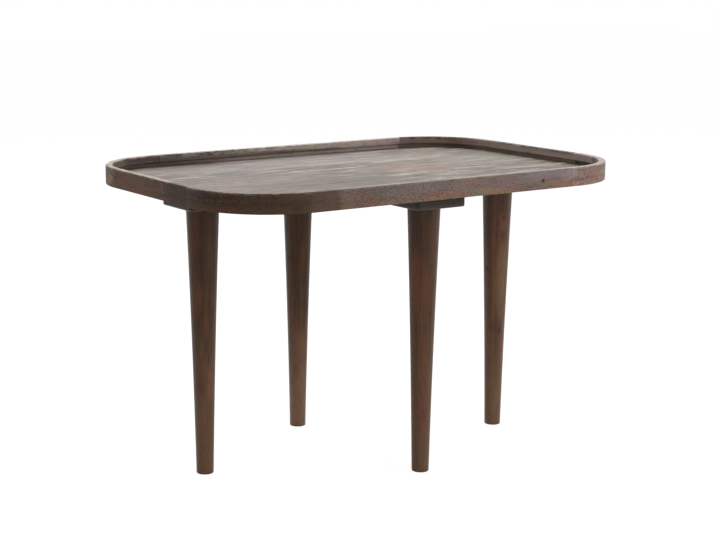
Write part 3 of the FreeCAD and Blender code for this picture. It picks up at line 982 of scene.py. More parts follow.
class Workshop:
    """Recipes and the small jobs that every sub-assembly uses."""

    SHARP = math.radians(32)

    def __init__(self) -> None:
        """Make each recipe once."""
        self.sweep = Sweep()
        self.lathe = Lathe()
        self.scatter = Scatter()
        self.relief = {grain: Relief(grain) for grain in Grain}
        self.paints: dict[Finish, bpy.types.Material] = {}

    def paint(self, finish: Finish) -> bpy.types.Material:
        """Material of a finish, made the first time it is asked for.

        Args:
            finish: the finish.

        Returns:
            Its material.
        """
        if finish not in self.paints:
            self.paints[finish] = finish.material()
        return self.paints[finish]

    def blank(
        self,
        name: str,
        points: Sequence[Sequence[float]],
        edges: Sequence[tuple[int, int]] = (),
        marks: Optional[dict[str, Sequence]] = None,
    ) -> bpy.types.Object:
        """Mesh object of bare points and edges that a recipe works on.

        Args:
            name: the object's name.
            points: the points, in metres.
            edges: pairs of point numbers.
            marks: a number or a vector for each point, by attribute name.

        Returns:
            The object, in the scene.
        """
        mesh = bpy.data.meshes.new(name)
        mesh.from_pydata([tuple(point) for point in points], list(edges), [])
        for mark, values in (marks or {}).items():
            if isinstance(values[0], Vector):
                attribute = mesh.attributes.new(mark, "FLOAT_VECTOR", "POINT")
                attribute.data.foreach_set("vector", [part for value in values for part in value])
            else:
                attribute = mesh.attributes.new(mark, "FLOAT", "POINT")
                attribute.data.foreach_set("value", list(values))
        return self.stand(name, mesh)

    def stand(self, name: str, form: Union[bpy.types.Mesh, bmesh.types.BMesh]) -> bpy.types.Object:
        """Put a form into the scene as an object.

        Args:
            name: the object's name.
            form: a mesh, or a shape that becomes one and is freed.

        Returns:
            The object.
        """
        mesh = form
        if isinstance(form, bmesh.types.BMesh):
            mesh = bpy.data.meshes.new(name)
            form.to_mesh(mesh)
            form.free()
        piece = bpy.data.objects.new(name, mesh)
        bpy.context.scene.collection.objects.link(piece)
        return piece

    def profile(
        self, name: str, points: Sequence[Point], marks: Optional[dict[str, Sequence]] = None
    ) -> bpy.types.Object:
        """Half section for the lathe.

        Args:
            name: the object's name.
            points: radius and height of each row.
            marks: thread depth, turns or flute depth of each row, where it has them.

        Returns:
            The object, in the scene.
        """
        every = {mark: [0.0] * len(points) for mark in ("cut", "turns", "flute")}
        every.update(marks or {})
        return self.blank(name, [(radius, 0.0, height) for radius, height in points], marks=every)

    def carve(self, piece: bpy.types.Object, tool: bpy.types.Object, cut: Cut) -> None:
        """Cut a piece with a tool.

        Args:
            piece: the piece.
            tool: the tool, closed.
            cut: whether the tool's place goes or is all that stays.
        """
        modifier = piece.modifiers.new("cut", "BOOLEAN")
        modifier.operation = cut.value
        modifier.solver = "EXACT"
        modifier.object = tool

    def brush(
        self,
        piece: bpy.types.Object,
        finish: Finish,
        grain: Grain,
        depth: float,
        stock: float,
        middle: Sequence[float] = (0.0, 0.0, 0.0),
    ) -> None:
        """Sink the fibres' relief into a wooden piece.

        Args:
            piece: the piece.
            finish: its finish.
            grain: where its fibres run.
            depth: depth of the relief.
            stock: number of the wood that it is made from.
            middle: place from which its grain is measured.
        """
        self.relief[grain].use_on(
            piece, self.paint(finish), Depth=depth, Stock=stock, Middle=tuple(middle)
        )

    def settle(self, piece: bpy.types.Object) -> None:
        """Turn a piece's modifiers into its plain mesh, smooth but for its true edges.

        Args:
            piece: the piece.
        """
        ready = bpy.context.evaluated_depsgraph_get()
        mesh = bpy.data.meshes.new_from_object(piece.evaluated_get(ready), depsgraph=ready)
        piece.modifiers.clear()
        piece.data = mesh
        painted = [material for material in mesh.materials if material]
        mesh.materials.clear()
        for material in painted:
            mesh.materials.append(material)
        shape = bmesh.new()
        shape.from_mesh(mesh)
        for face in shape.faces:
            face.smooth = True
            face.material_index = 0
        for edge in shape.edges:
            edge.smooth = len(edge.link_faces) == 2 and edge.calc_face_angle(0) < self.SHARP
        shape.to_mesh(mesh)
        shape.free()

    def drop(self, *helpers: bpy.types.Object) -> None:
        """Take helper objects out of the file."""
        for helper in helpers:
            bpy.data.objects.remove(helper)

    def deliver(self, piece: bpy.types.Object, slot: str, *nodes: str) -> None:
        """Settle a piece and hand it to the frame in place of its solids.

        Args:
            piece: the finished piece.
            slot: not used.
            nodes: the nodes that it replaces.
        """
        self.settle(piece)
        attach(piece, BODY)
        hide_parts(*nodes)
        log.info("%s: %d faces, for %s", piece.name, len(piece.data.polygons), ", ".join(nodes))


def arc(centre: Point, radius: float, start: float, stop: float, steps: int) -> list[Point]:
    """Points of an arc, both ends among them.

    Args:
        centre: the arc's centre.
        radius: the arc's radius.
        start: first direction, in degrees.
        stop: last direction, in degrees.
        steps: number of chords.

    Returns:
        The points in order.
    """
    points = []
    for step in range(steps + 1):
        angle = math.radians(start + (stop - start) * step / steps)
        points.append((centre[0] + radius * math.cos(angle), centre[1] + radius * math.sin(angle)))
    return points


def plain(*points: Point) -> Wall:
    """Rows of a wall without thread."""
    return list(points), [0.0] * len(points), [0.0] * len(points)


def divided(points: Sequence[Point], longest: float, closed: bool = True) -> list[Point]:
    """Outline with points added on its long sides.

    Args:
        points: the outline.
        longest: length that no side of the result passes.
        closed: whether the last point joins the first.

    Returns:
        The outline with its added points.
    """
    result = []
    last = len(points) if closed else len(points) - 1
    for number in range(last):
        start, stop = Vector(points[number]), Vector(points[(number + 1) % len(points)])
        count = max(1, math.ceil((stop - start).length / longest))
        result += [tuple(start.lerp(stop, step / count)) for step in range(count)]
    return result if closed else result + [tuple(points[-1])]


def rounded(half_length: float, half_width: float, radius: float, steps: int) -> list[Point]:
    """Outline of a rectangle with round corners.

    Args:
        half_length: half of its size along X.
        half_width: half of its size along Y.
        radius: the corners' radius.
        steps: number of chords in a corner.

    Returns:
        The points, counter-clockwise.
    """
    across, along = half_length - radius, half_width - radius
    centres = ((across, -along), (across, along), (-across, along), (-across, -along))
    points = []
    for quarter, centre in enumerate(centres):
        points += arc(centre, radius, 90 * (quarter - 1), 90 * quarter, steps)
    return points


def stacked(layers: Sequence[Sequence[Vector]]) -> bmesh.types.BMesh:
    """Closed solid through outlines of equal counts.

    Args:
        layers: the outlines, from the foot to the top.

    Returns:
        The solid, with a flat face at both ends.
    """
    shape = bmesh.new()
    rings = [[shape.verts.new(point) for point in layer] for layer in layers]
    count = len(rings[0])
    if any(len(ring) != count for ring in rings):
        raise ValueError("the outlines have unequal counts")
    for lower, upper in zip(rings, rings[1:]):
        for number in range(count):
            after = (number + 1) % count
            shape.faces.new((lower[number], lower[after], upper[after], upper[number]))
    shape.faces.new(list(reversed(rings[0])))
    shape.faces.new(rings[-1])
    return shape


def turned_solids(
    profile: Sequence[Point],
    places: Sequence[Vector],
    facets: int,
    shape: Optional[bmesh.types.BMesh] = None,
) -> bmesh.types.BMesh:
    """The same closed turned solid at several places.

    Args:
        profile: radius and height of its points, from the axis at its foot to that at its top.
        places: where the solids stand.
        facets: number of facets round each.
        shape: a shape that they are added to, or none for a new one.

    Returns:
        The shape with the solids.
    """
    shape = bmesh.new() if shape is None else shape
    for place in places:
        foot = shape.verts.new(place + Vector((0, 0, profile[0][1])))
        head = shape.verts.new(place + Vector((0, 0, profile[-1][1])))
        rings = []
        for radius, height in profile[1:-1]:
            ring = arc((0.0, 0.0), radius, 0, 360, facets)[:-1]
            rings.append([shape.verts.new(place + Vector((x, y, height))) for x, y in ring])
        for number in range(facets):
            after = (number + 1) % facets
            shape.faces.new((foot, rings[0][after], rings[0][number]))
            shape.faces.new((head, rings[-1][number], rings[-1][after]))
            for lower, upper in zip(rings, rings[1:]):
                shape.faces.new((lower[number], lower[after], upper[after], upper[number]))
    bmesh.ops.recalc_face_normals(shape, faces=shape.faces)
    return shape


FLOOR_WOOD = FloorTimber(
    "brushed_floor",
    pore=(42, 34, 28), late=(54, 44, 36), body=(76, 64, 53), early=(103, 92, 80),
    heart=(84, 61, 47), ash=(103, 97, 91), heart_from=0.5, heart_amount=0.55,
    ash_from=0.5, ash_amount=0.55, ash_stretch=(5.0, 26.0, 26.0), ring_amount=0.25,
    streaks=(9.0, 70.0, 70.0), mottle=0.25, mottle_stretch=(13.0, 66.0, 66.0),
    gloss=0.28,
    patches=(
        # Painted shade and reflection of the back rim: a grey-lavender band on the floor near it.
        Patch((-20, 160, 427), (260, 50, 60), (116, 108, 107), 0.42),
        Patch((150, 92, 427), (80, 12, 60), (158, 150, 144), 0.4),
        Patch((285, -80, 427), (80, 11, 60), (158, 149, 140), 0.4),
        Patch((-190, 0, 427), (120, 80, 60), (98, 82, 66), 0.4),
        Patch((40, 112, 427), (230, 12, 60), (150, 142, 136), 0.35),
        Patch((120, 10, 427), (90, 60, 60), (114, 88, 74), 0.45),
        Patch((250, 40, 427), (100, 80, 60), (118, 116, 104), 0.4),
        Patch((-100, -80, 427), (130, 70, 60), (60, 47, 34), 0.58),
        # Painted shade along the foot of the back rim, toward the left.
        Patch((-190, 195, 427), (110, 26, 60), (62, 54, 50), 0.5),
        Patch((-190, -40, 427), (130, 60, 60), (74, 62, 50), 0.3),
    ),
)
SMOKED_RIM = RimTimber(
    "smoked_rim",
    pore=(24, 15, 10), late=(36, 24, 16), body=(52, 35, 24), early=(70, 50, 34),
    heart=(84, 45, 27), ash=(76, 60, 44), heart_from=0.5, heart_amount=0.5,
    ash_from=0.55, ash_amount=0.3, gloss=0.12, crown=(74, 58, 44), painted_top_amount=0.1,
    patches=(
        Patch((-218, -234, 432), (22, 12, 30), (84, 66, 56), 0.5),
        Patch((-275, -230, 430), (40, 24, 40), (52, 34, 21), 0.3),
    ),
)
LEFT_RIM = replace(
    SMOKED_RIM, name="left_rim", body=(71, 49, 32), early=(97, 71, 49), late=(50, 34, 23),
    painted_top_amount=0.45, mottle=0.4,
    patches=(
        Patch((-350, 60, 431), (10, 60, 30), (98, 70, 48), 0.4),
        Patch((-350, -34, 436), (8, 3.5, 8), (130, 106, 88), 0.2),
        Patch((-350, 20, 424), (10, 36, 10), (100, 58, 42), 0.35),
        Patch((-350, -98, 431), (12, 60, 40), (54, 38, 28), 0.85),
    ),
)
LEFT_CORNER = replace(
    LEFT_RIM, name="left_corner", body=(90, 79, 72), early=(112, 102, 95), late=(66, 56, 51),
    heart=(94, 74, 64), ash=(102, 94, 89), mottle=0.25, scuff_and_shading_amount=0.5, painted_top_amount=0.3,
    patches=(
        Patch((-350, 100, 431), (7, 70, 40), (88, 64, 46), 0.85),
        Patch((-349, 128, 429), (12, 14, 8), (150, 114, 96), 0.5),
        Patch((-350, 124, 440), (12, 14, 6), (108, 103, 88), 0.5),
        # Painted light: lifts the shade on the inner face of the back left corner.
        Patch((-300, 198, 438), (24, 24, 12), (128, 116, 106), 0.4),
    ),
)
BLEACHED_RIM = replace(
    SMOKED_RIM, name="bleached_rim",
    pore=(42, 30, 25), late=(58, 44, 37), body=(86, 68, 58), early=(110, 90, 78),
    heart=(124, 74, 48), heart_amount=0.6, heart_stretch=(12.0, 70.0, 70.0),
    ash=(106, 97, 96), ash_amount=0.5, ash_stretch=(12.0, 40.0, 40.0),
    crown=(98, 88, 91), crown_amount=0.5, foot=(122, 82, 56), foot_amount=0.45,
    wool=(148, 132, 120), wool_amount=0.4, mottle=0.45, painted_top_amount=0.42,
    painted_top_from=(-0.06, 0.18), hatch_amount=0.6,
    patches=(
        Patch((-212, -234, 430), (26, 14, 40), (58, 43, 34), 0.75),
        Patch((-170, -234, 430), (70, 14, 30), (90, 70, 57), 0.4),
        Patch((-60, -234, 438), (60, 14, 12), (100, 90, 96), 0.35),
        Patch((60, -234, 434), (80, 14, 20), (122, 104, 97), 0.4),
        Patch((150, -234, 434), (70, 14, 18), (106, 95, 92), 0.4),
        Patch((175, -234, 440), (60, 14, 9), (136, 124, 122), 0.4),
        Patch((212, -234, 436), (26, 14, 10), (140, 124, 119), 0.4),
        Patch((159.1, -234, 430.7), (3.4, 3.4, 2.6), (28, 18, 14), 0.9),
        Patch((190, -234, 424), (30, 14, 8), (146, 102, 78), 0.3),
    ),
)
PALE_CORNER = replace(
    BLEACHED_RIM, name="pale_corner", body=(116, 98, 89), early=(138, 121, 111),
    crown=(124, 115, 112), foot=(160, 110, 86), foot_amount=0.5, scuff_and_shading_amount=0.3,
    painted_top_amount=0.2,
    patches=(
        Patch((334, -118, 438), (9, 40, 26), (158, 147, 138), 0.6),
        Patch((353, -100, 431), (12, 44, 60), (88, 68, 56), 0.7),
    ),
)
SCUFFED_RIM = replace(
    SMOKED_RIM, name="scuffed_rim", body=(104, 90, 81), early=(132, 119, 109), late=(72, 59, 52),
    ash=(122, 114, 107), ash_amount=0.4, scuff_and_shading_amount=0.85, scuff_and_shading_depth=10 * MM,
    wool_amount=0.25, crown=(112, 100, 95), foot_amount=0.4, foot=(108, 90, 79),
    painted_top_amount=0.3, mottle=0.3, gloss=0.04,
    patches=(
        # Painted light in the shaded gap under the back rail's lip.
        Patch((90, 228.5, 429), (250, 3.6, 5.5), (170, 154, 146), 0.6),
        Patch((-150, 226, 438), (90, 14, 12), (92, 84, 84), 0.4),
        Patch((-214, 222, 438), (44, 10, 16), (90, 81, 76), 0.5),
        Patch((110, 221, 442), (190, 10, 6), (182, 172, 164), 0.55),
        Patch((20, 237, 431), (330, 7, 60), (84, 68, 58), 0.8),
        Patch((194.8, 226, 442), (1.6, 8, 5), (26, 18, 14), 0.45),
        Patch((180, 224, 436), (80, 9, 16), (170, 152, 146), 0.6),
    ),
)
# Dark top colour: painted shade along the top edge and on the upward faces of the top.
RIGHT_RIM = replace(
    SMOKED_RIM, name="right_rim", body=(154, 139, 130), early=(172, 157, 148),
    late=(132, 120, 114), heart=(150, 124, 112), ash=(152, 145, 140),
    crown=(142, 133, 125), foot=(116, 82, 64), foot_amount=0.4, scuff_and_shading=(48, 40, 34),
    scuff_and_shading_amount=0.85, scuff_and_shading_depth=3.5 * MM, painted_top_amount=0.8, painted_top_slope=(0.5, 0.95),
    mottle=0.25, gloss=0.03,
    patches=(Patch((353, 0, 431), (7, 200, 60), (84, 64, 52), 0.9),),
)
# Dark top colour, as on the right rail: painted shade along the top edge and on its upward faces.
BACK_CORNER = replace(
    RIGHT_RIM, name="back_corner", body=(102, 86, 72), early=(122, 105, 91), late=(80, 65, 53),
    foot=(98, 62, 44), scuff_and_shading=(40, 32, 26), scuff_and_shading_depth=6 * MM,
    patches=(Patch((334, 116, 436), (30, 40, 26), (150, 135, 126), 0.7),),
)
RIM_FINISHES = {
    "rim_front": BLEACHED_RIM,
    "rim_corner_front_right": PALE_CORNER,
    "rim_right": RIGHT_RIM,
    "rim_corner_back_right": BACK_CORNER,
    "rim_back": SCUFFED_RIM,
    "rim_corner_back_left": LEFT_CORNER,
    "rim_left": LEFT_RIM,
    "rim_corner_front_left": SMOKED_RIM,
}
BLOCK_WOOD = Timber(
    "ebonised_block",
    pore=(18, 13, 11), late=(31, 24, 20), body=(46, 36, 31), early=(60, 49, 43),
    heart=(60, 38, 34), ash=(62, 53, 52), heart_amount=0.4, ash_amount=0.25, polish=0.48,
    patches=(
        # Painted shade at the top of the block, under the tray.
        Patch((0, 0, 415), (900, 900, 9), (26, 20, 18), 0.5),
        # Painted highlight on the block's lower rounded edge.
        Patch((0, 0, 394), (900, 900, 6), (94, 83, 84), 0.36),
    ),
)
LEG_WOOD = LegTimber(
    "walnut_leg",
    pore=(30, 19, 12), late=(56, 38, 24), body=(69, 47, 29), early=(86, 62, 41),
    heart=(94, 56, 34), ash=(88, 68, 49), heart_from=0.52, heart_amount=0.42,
    heart_stretch=(12.0, 60.0, 60.0), ash_from=0.56, ash_amount=0.3, ring_amount=0.3,
    mottle=0.38, mottle_stretch=(30.0, 100.0, 100.0), polish=0.42, gloss=0.15, sheen=0.5,
)
LEG_FINISHES = {
    Side.LEFT: replace(LEG_WOOD, name="walnut_leg_left", patches=(
        Patch((-279, 8, 357), (9, 12, 30), (92, 44, 32), 0.4),
        Patch((-277, 4, 262), (9, 10, 40), (104, 54, 36), 0.4),
        Patch((-258, -1, 136), (6, 6, 30), (128, 76, 52), 0.38),
    )),
    Side.RIGHT: replace(
        LEG_WOOD, name="walnut_leg_right", late=(72, 51, 36), body=(92, 66, 47),
        early=(116, 88, 65), painted_shade_amount=0.4, patches=(
            Patch((250, -38, 235), (14, 12, 80), (124, 92, 68), 0.4),
            Patch((253, -38, 336), (9, 9, 17), (116, 66, 48), 0.4),
            Patch((254.5, -39, 342), (2.6, 2.6, 3.6), (58, 32, 24), 0.7),
            Patch((238.9, -18.2, 259), (3, 3, 5), (56, 38, 28), 0.7),
            Patch((249, -31, 165), (10, 10, 15), (74, 50, 40), 0.5),
            Patch((254.7, -33.3, 157), (3, 3, 4.6), (50, 32, 26), 0.75),
        ),
    ),
    Side.FRONT: replace(
        LEG_WOOD, name="walnut_leg_front", late=(64, 43, 28), body=(79, 53, 35),
        early=(97, 69, 48), patches=(
            Patch((-4.5, -153, 290), (7, 10, 46), (116, 64, 42), 0.45),
            Patch((6, -160, 90), (10, 8, 40), (108, 62, 52), 0.35),
        ),
    ),
    # Back leg: paler toward the foot, partly the wood's own tone and partly painted light.
    Side.BACK: replace(
        LEG_WOOD, name="walnut_leg_back", painted_light=(160, 124, 100), painted_light_amount=0.42,
        early=(94, 68, 47),
    ),
}
DOWEL_WOOD = Timber(
    "bare_beech",
    pore=(150, 110, 74), late=(180, 140, 98), body=(206, 168, 124), early=(224, 190, 148),
    heart=(190, 140, 96), ash=(210, 180, 140), heart_amount=0.2, ash_amount=0.1, polish=0.6,
)
ZINC = Metal("zinc_plate")


@dataclass
class Outline:
    """Rounded rectangle of the tray, which the rim and the boards follow."""

    half_length: float
    half_width: float
    corner: float = 121 * MM

    def inset(self, amount: float) -> "Outline":
        """The same outline drawn in by an amount."""
        return Outline(*(size - amount for size in (self.half_length, self.half_width, self.corner)))

    def points(self, steps: int = 24) -> list[Point]:
        """Points of the outline, counter-clockwise."""
        return rounded(self.half_length, self.half_width, self.corner, steps)

    @property
    def flat_length(self) -> float:
        """Half of the straight run along a long side."""
        return self.half_length - self.corner

    @property
    def flat_width(self) -> float:
        """Half of the straight run along a short side."""
        return self.half_width - self.corner

    @property
    def quarter(self) -> float:
        """Length of one corner's arc."""
        return self.corner * math.pi / 2

    @property
    def total(self) -> float:
        """Length all the way round."""
        return 4 * (self.flat_length + self.flat_width + self.quarter)

    def walk(self, run: float) -> tuple[Vector, Vector]:
        """Point and heading at a distance along the outline.

        Args:
            run: distance from the middle of the front, counter-clockwise seen from above.

        Returns:
            The point and the unit heading, both level.
        """
        run = (run - self.flat_length) % self.total
        corners = (
            (self.flat_length, -self.flat_width, 2 * self.flat_width),
            (self.flat_length, self.flat_width, 2 * self.flat_length),
            (-self.flat_length, self.flat_width, 2 * self.flat_width),
            (-self.flat_length, -self.flat_width, 2 * self.flat_length),
        )
        for number, (x, y, straight) in enumerate(corners):
            turn = min(run / self.corner, math.pi / 2) + math.pi / 2 * (number - 1)
            out = Vector((math.cos(turn), math.sin(turn), 0))
            heading = Vector((-out.y, out.x, 0))
            if run <= self.quarter:
                return Vector((x, y, 0)) + out * self.corner, heading
            run -= self.quarter
            if run <= straight:
                return Vector((x, y, 0)) + out * self.corner + heading * run, heading
            run -= straight
        raise ValueError("the walk went past the end of the outline")

    def run_at_front(self, x: float) -> float:
        """Distance to a place along the front."""
        return x % self.total

    def run_at_right(self, y: float) -> float:
        """Distance to a place along the right side."""
        return self.flat_length + self.quarter + self.flat_width + y

    def run_at_back(self, x: float) -> float:
        """Distance to a place along the back or just round its right corner.

        Args:
            x: the place.

        Returns:
            The distance.
        """
        beyond = max(0.0, x - self.flat_length)
        start = self.flat_length + 2 * self.quarter + 2 * self.flat_width
        return start + self.flat_length - x + beyond - self.corner * math.asin(beyond / self.corner)

    def run_at_left(self, y: float) -> float:
        """Distance to a place along the left side."""
        return 3 * self.flat_length + 3 * self.quarter + 3 * self.flat_width - y


@dataclass
class Rim:
    """Raised rim: rails and corners of one section, dowelled end to end."""

    workshop: Workshop
    outline: Outline
    width: float = 11 * MM
    lip: float = 11 * MM
    foot: float = 3 * MM
    groove: float = 5 * MM
    groove_top: float = 16.5 * MM
    arris: float = 1.6 * MM
    inner_arris: float = 0.9 * MM
    base_arris: float = 0.8 * MM
    lip_arris: float = 0.5 * MM
    longest_side: float = 1.6 * MM
    station: float = 4 * MM
    softening: float = 0.15 * MM
    softened_run: float = 0.5 * MM
    relief: float = 0.22 * MM
    stock_step: float = 7.3
    dowel_radius: float = 2 * MM
    dowel_length: float = 22 * MM
    dowel_fit: float = 0.05 * MM
    dowel_chamfer: float = 0.6 * MM
    dowel_station: float = 2 * MM
    dowel_facets: int = 48
    dowel_stock: float = 40.0
    flutes: int = 12
    flute_depth: float = 0.25 * MM

    NODES = (
        "rim_front", "rim_corner_front_right", "rim_right", "rim_corner_back_right",
        "rim_back", "rim_corner_back_left", "rim_left", "rim_corner_front_left",
    )
    DOWEL_PAIRS = {
        "front_right": (1, 2), "back_right": (3, 4), "back_left": (5, 6), "front_left": (7, 0),
    }

    def __post_init__(self) -> None:
        """Read the rim's level and the seams from the frame."""
        low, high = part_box("rim_front")
        self.base, self.top = low.z, high.z
        self.centreline = self.outline.inset(self.width / 2)
        line = self.centreline
        back, right, left = (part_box("rim_" + side) for side in ("back", "right", "left"))
        self.seams = [
            line.run_at_front(low.x) - line.total,
            line.run_at_front(high.x),
            line.run_at_right(right[0].y),
            line.run_at_right(right[1].y),
            line.run_at_back(back[1].x),
            line.run_at_back(back[0].x),
            line.run_at_left(left[1].y),
            line.run_at_left(left[0].y),
        ]

    def section(self) -> list[Point]:
        """Closed outline of the rim's section.

        Returns:
            Distance outward from the centreline and height over the base, for each point.
        """
        half, height = self.width / 2, self.top - self.base
        points = [(self.groove - half, self.foot), (self.groove - half, self.groove_top)]
        for x, y, radius, start, steps in (
            (self.lip_arris - half, self.groove_top + self.lip_arris, self.lip_arris, 270, 4),
            (self.inner_arris - half, height - self.inner_arris, self.inner_arris, 180, 5),
            (half - self.arris, height - self.arris, self.arris, 90, 6),
            (half - self.base_arris, self.base_arris, self.base_arris, 0, 4),
        ):
            points += arc((x, y), radius, start, start - 90, steps)
        points += [(-half, 0.0), (-half, self.foot)]
        return divided(points, self.longest_side)

    def path(self, start: float, stop: float) -> list[Vector]:
        """Points of the centreline between two seams, close together at both.

        Args:
            start: distance to the first seam.
            stop: distance to the next.

        Returns:
            The points, at the rim's base.
        """
        count = math.ceil((stop - start) / self.station)
        runs = [start + (stop - start) * step / count for step in range(count + 1)]
        runs[1:1] = [start + self.softened_run]
        runs[-1:-1] = [stop - self.softened_run]
        lift = Vector((0, 0, self.base))
        return [self.centreline.walk(run)[0] + lift for run in runs]

    def dowel_places(self, seams: Sequence[float]) -> tuple[list[Vector], list[Vector]]:
        """Where the dowels of some seams lie.

        Args:
            seams: distances to the seams.

        Returns:
            The dowels' middles and their headings.
        """
        level = Vector((0, 0, self.top - self.lip / 2))
        walks = [self.centreline.walk(run) for run in seams]
        return [place + level for place, _ in walks], [heading for _, heading in walks]

    def dowel_tool(self) -> bpy.types.Object:
        """Cylinders that open the holes for the dowels.

        Returns:
            The cylinders, as one object.
        """
        shape = bmesh.new()
        radius = self.dowel_radius + self.dowel_fit
        for place, heading in zip(*self.dowel_places(self.seams)):
            turn = heading.to_track_quat("Z", "Y").to_matrix().to_4x4()
            bmesh.ops.create_cone(
                shape, cap_ends=True, segments=self.dowel_facets // 2, radius1=radius, radius2=radius,
                depth=self.dowel_length + 2 * self.dowel_fit, matrix=Matrix.Translation(place) @ turn,
            )
        return self.workshop.stand("dowel_tool", shape)

    def build(self) -> None:
        """Sweep every rail and corner between its seams, then make the dowels."""
        shop = self.workshop
        points = self.section()
        edges = [(number, (number + 1) % len(points)) for number in range(len(points))]
        section = shop.blank("rim_section", [(x, -y, 0.0) for x, y in points], edges)
        tool = self.dowel_tool()
        stops = self.seams[1:] + [self.seams[0] + self.centreline.total]
        for number, (node, start, stop) in enumerate(zip(self.NODES, self.seams, stops)):
            path = self.path(start, stop)
            steps = [(step, step + 1) for step in range(len(path) - 1)]
            piece = shop.blank(node.replace("rim", "dressed_rim"), path, steps)
            finish = RIM_FINISHES[node]
            shop.sweep.use_on(
                piece, shop.paint(finish), Section=section, Start=start, Run=stop - start,
                Softening=self.softening, Reach=self.softened_run,
            )
            shop.carve(piece, tool, Cut.AWAY)
            shop.brush(piece, finish, Grain.ALONG_PATH, self.relief, number * self.stock_step)
            shop.deliver(piece, "rim_wood", node)
        shop.drop(section, tool)
        self.build_dowels()

    def build_dowels(self) -> None:
        """Fluted dowels, two in each corner piece."""
        shop, paint = self.workshop, self.workshop.paint(DOWEL_WOOD)
        half, radius, chamfer = self.dowel_length / 2, self.dowel_radius, self.dowel_chamfer
        points = divided([
            (0.0, -half), (radius - chamfer, -half), (radius, chamfer - half),
            (radius, half - chamfer), (radius - chamfer, half), (0.0, half),
        ], self.dowel_station, closed=False)
        flutes = [self.flute_depth if abs(height) < half - 2 * chamfer else 0.0 for _, height in points]
        pattern = shop.profile("dowel_pattern", points, {"flute": flutes})
        shop.lathe.use_on(pattern, paint, Facets=self.dowel_facets, Flutes=self.flutes)
        shop.settle(pattern)
        for seed, (corner, pair) in enumerate(self.DOWEL_PAIRS.items()):
            places, headings = self.dowel_places([self.seams[number] for number in pair])
            piece = shop.blank("dowels_" + corner, places, marks={"lay": headings})
            shop.scatter.use_on(piece, paint, Piece=pattern, Seed=seed)
            shop.brush(piece, DOWEL_WOOD, Grain.ALONG_Z, 0.0, self.dowel_stock + seed)
            shop.deliver(piece, "dowel_wood", "rim_dowels_" + corner)
        shop.drop(pattern)


@dataclass
class TrayFloor:
    """Boards laid edge to edge, tongued together and let into the rim's groove."""

    workshop: Workshop
    outline: Outline
    screw_places: Sequence[Vector]
    boards: int = 6
    groove_reach: float = 6.5 * MM
    step_reach: float = 11.1 * MM
    rebate: float = 3 * MM
    tongue: float = 4 * MM
    tongue_half: float = 1.6 * MM
    fit: float = 0.1 * MM
    edge_arris: float = 0.25 * MM
    furrow: float = 1 * MM
    station: float = 6 * MM
    relief: float = 0.3 * MM
    stock: float = 100.0
    stock_step: float = 5.7
    pilot_radius: float = 2.1 * MM
    pilot_depth: float = 6.6 * MM
    pilot_facets: int = 20
    overrun: float = 5 * MM

    def __post_init__(self) -> None:
        """Read the boards' levels and widths from the frame."""
        low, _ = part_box("tray_board_1")
        _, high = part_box("tray_board_{}".format(self.boards))
        self.base, self.top = low.z, high.z
        self.near, self.width = low.y, (high.y - low.y) / self.boards

    def joint(self, edge: float, reach: float, half: float) -> list[Point]:
        """Corners of a tongue or its slot, from the board's edge to its reach and back, rising."""
        low, high = ((self.base + self.top) / 2 + rise for rise in (-half, half))
        return [(edge, low), (reach, low), (reach, high), (edge, high)]

    def section(self, number: int) -> list[Point]:
        """Closed outline of one board's section.

        Args:
            number: the board's number, from 1 at the front.

        Returns:
            Place across the tray and height, for each point.
        """
        near = self.near + self.width * (number - 1)
        far = near + self.width
        first, last = number == 1, number == self.boards
        near -= self.overrun if first else 0.0
        far += self.overrun if last else 0.0
        points = [(near, self.base), (far, self.base)]
        if not last:
            points += self.joint(far, far + self.tongue, self.tongue_half)
        points += [(far, self.top - self.edge_arris), (far - self.edge_arris, self.top)]
        points += [(near + self.edge_arris, self.top), (near, self.top - self.edge_arris)]
        if not first:
            slot = self.joint(near, near + self.tongue + self.fit, self.tongue_half + self.fit)
            points += reversed(slot)
        return divided(points, self.furrow)

    def form(self) -> bpy.types.Object:
        """Solid of the whole floor that each board is sawn to.

        Returns:
            The solid, with a step under its edge where the rim's lip runs.
        """
        wide = self.outline.inset(self.groove_reach).points()
        slim = self.outline.inset(self.step_reach).points()
        levels = (
            (slim, self.base - self.overrun), (slim, self.base + self.rebate),
            (wide, self.base + self.rebate), (wide, self.top + self.overrun),
        )
        layers = [[Vector((x, y, level)) for x, y in ring] for ring, level in levels]
        return self.workshop.stand("floor_form", stacked(layers))

    def pilot_tool(self) -> bpy.types.Object:
        """Cylinders that open the screws' holes in the underside.

        Returns:
            The cylinders, as one object.
        """
        profile = [
            (0.0, -self.overrun), (self.pilot_radius, -self.overrun),
            (self.pilot_radius, self.pilot_depth), (0.0, self.pilot_depth),
        ]
        places = [Vector((place.x, place.y, self.base)) for place in self.screw_places]
        return self.workshop.stand("pilot_tool", turned_solids(profile, places, self.pilot_facets))

    def blank(self, number: int) -> bpy.types.Object:
        """One board before it is sawn to the tray's outline.

        Args:
            number: the board's number.

        Returns:
            The board, as long as the tray.
        """
        points = self.section(number)
        reach = self.outline.half_length
        count = math.ceil(2 * reach / self.station)
        places = [-reach + 2 * reach * step / count for step in range(count + 1)]
        shape = stacked([[Vector((x, y, z)) for y, z in points] for x in places])
        bmesh.ops.recalc_face_normals(shape, faces=shape.faces)
        return self.workshop.stand("board_{}".format(number), shape)

    def build(self) -> None:
        """Saw, drill and brush each board."""
        shop = self.workshop
        form, pilots = self.form(), self.pilot_tool()
        for number in range(1, self.boards + 1):
            piece = self.blank(number)
            shop.carve(piece, form, Cut.DOWN_TO)
            shop.carve(piece, pilots, Cut.AWAY)
            middle = (0.0, self.near + self.width * (number - 0.5), (self.base + self.top) / 2)
            stock = self.stock + self.stock_step * number
            shop.brush(piece, FLOOR_WOOD, Grain.ALONG_X, self.relief, stock, middle)
            shop.deliver(piece, "tray_wood", "tray_board_{}".format(number))
        shop.drop(form, pilots)


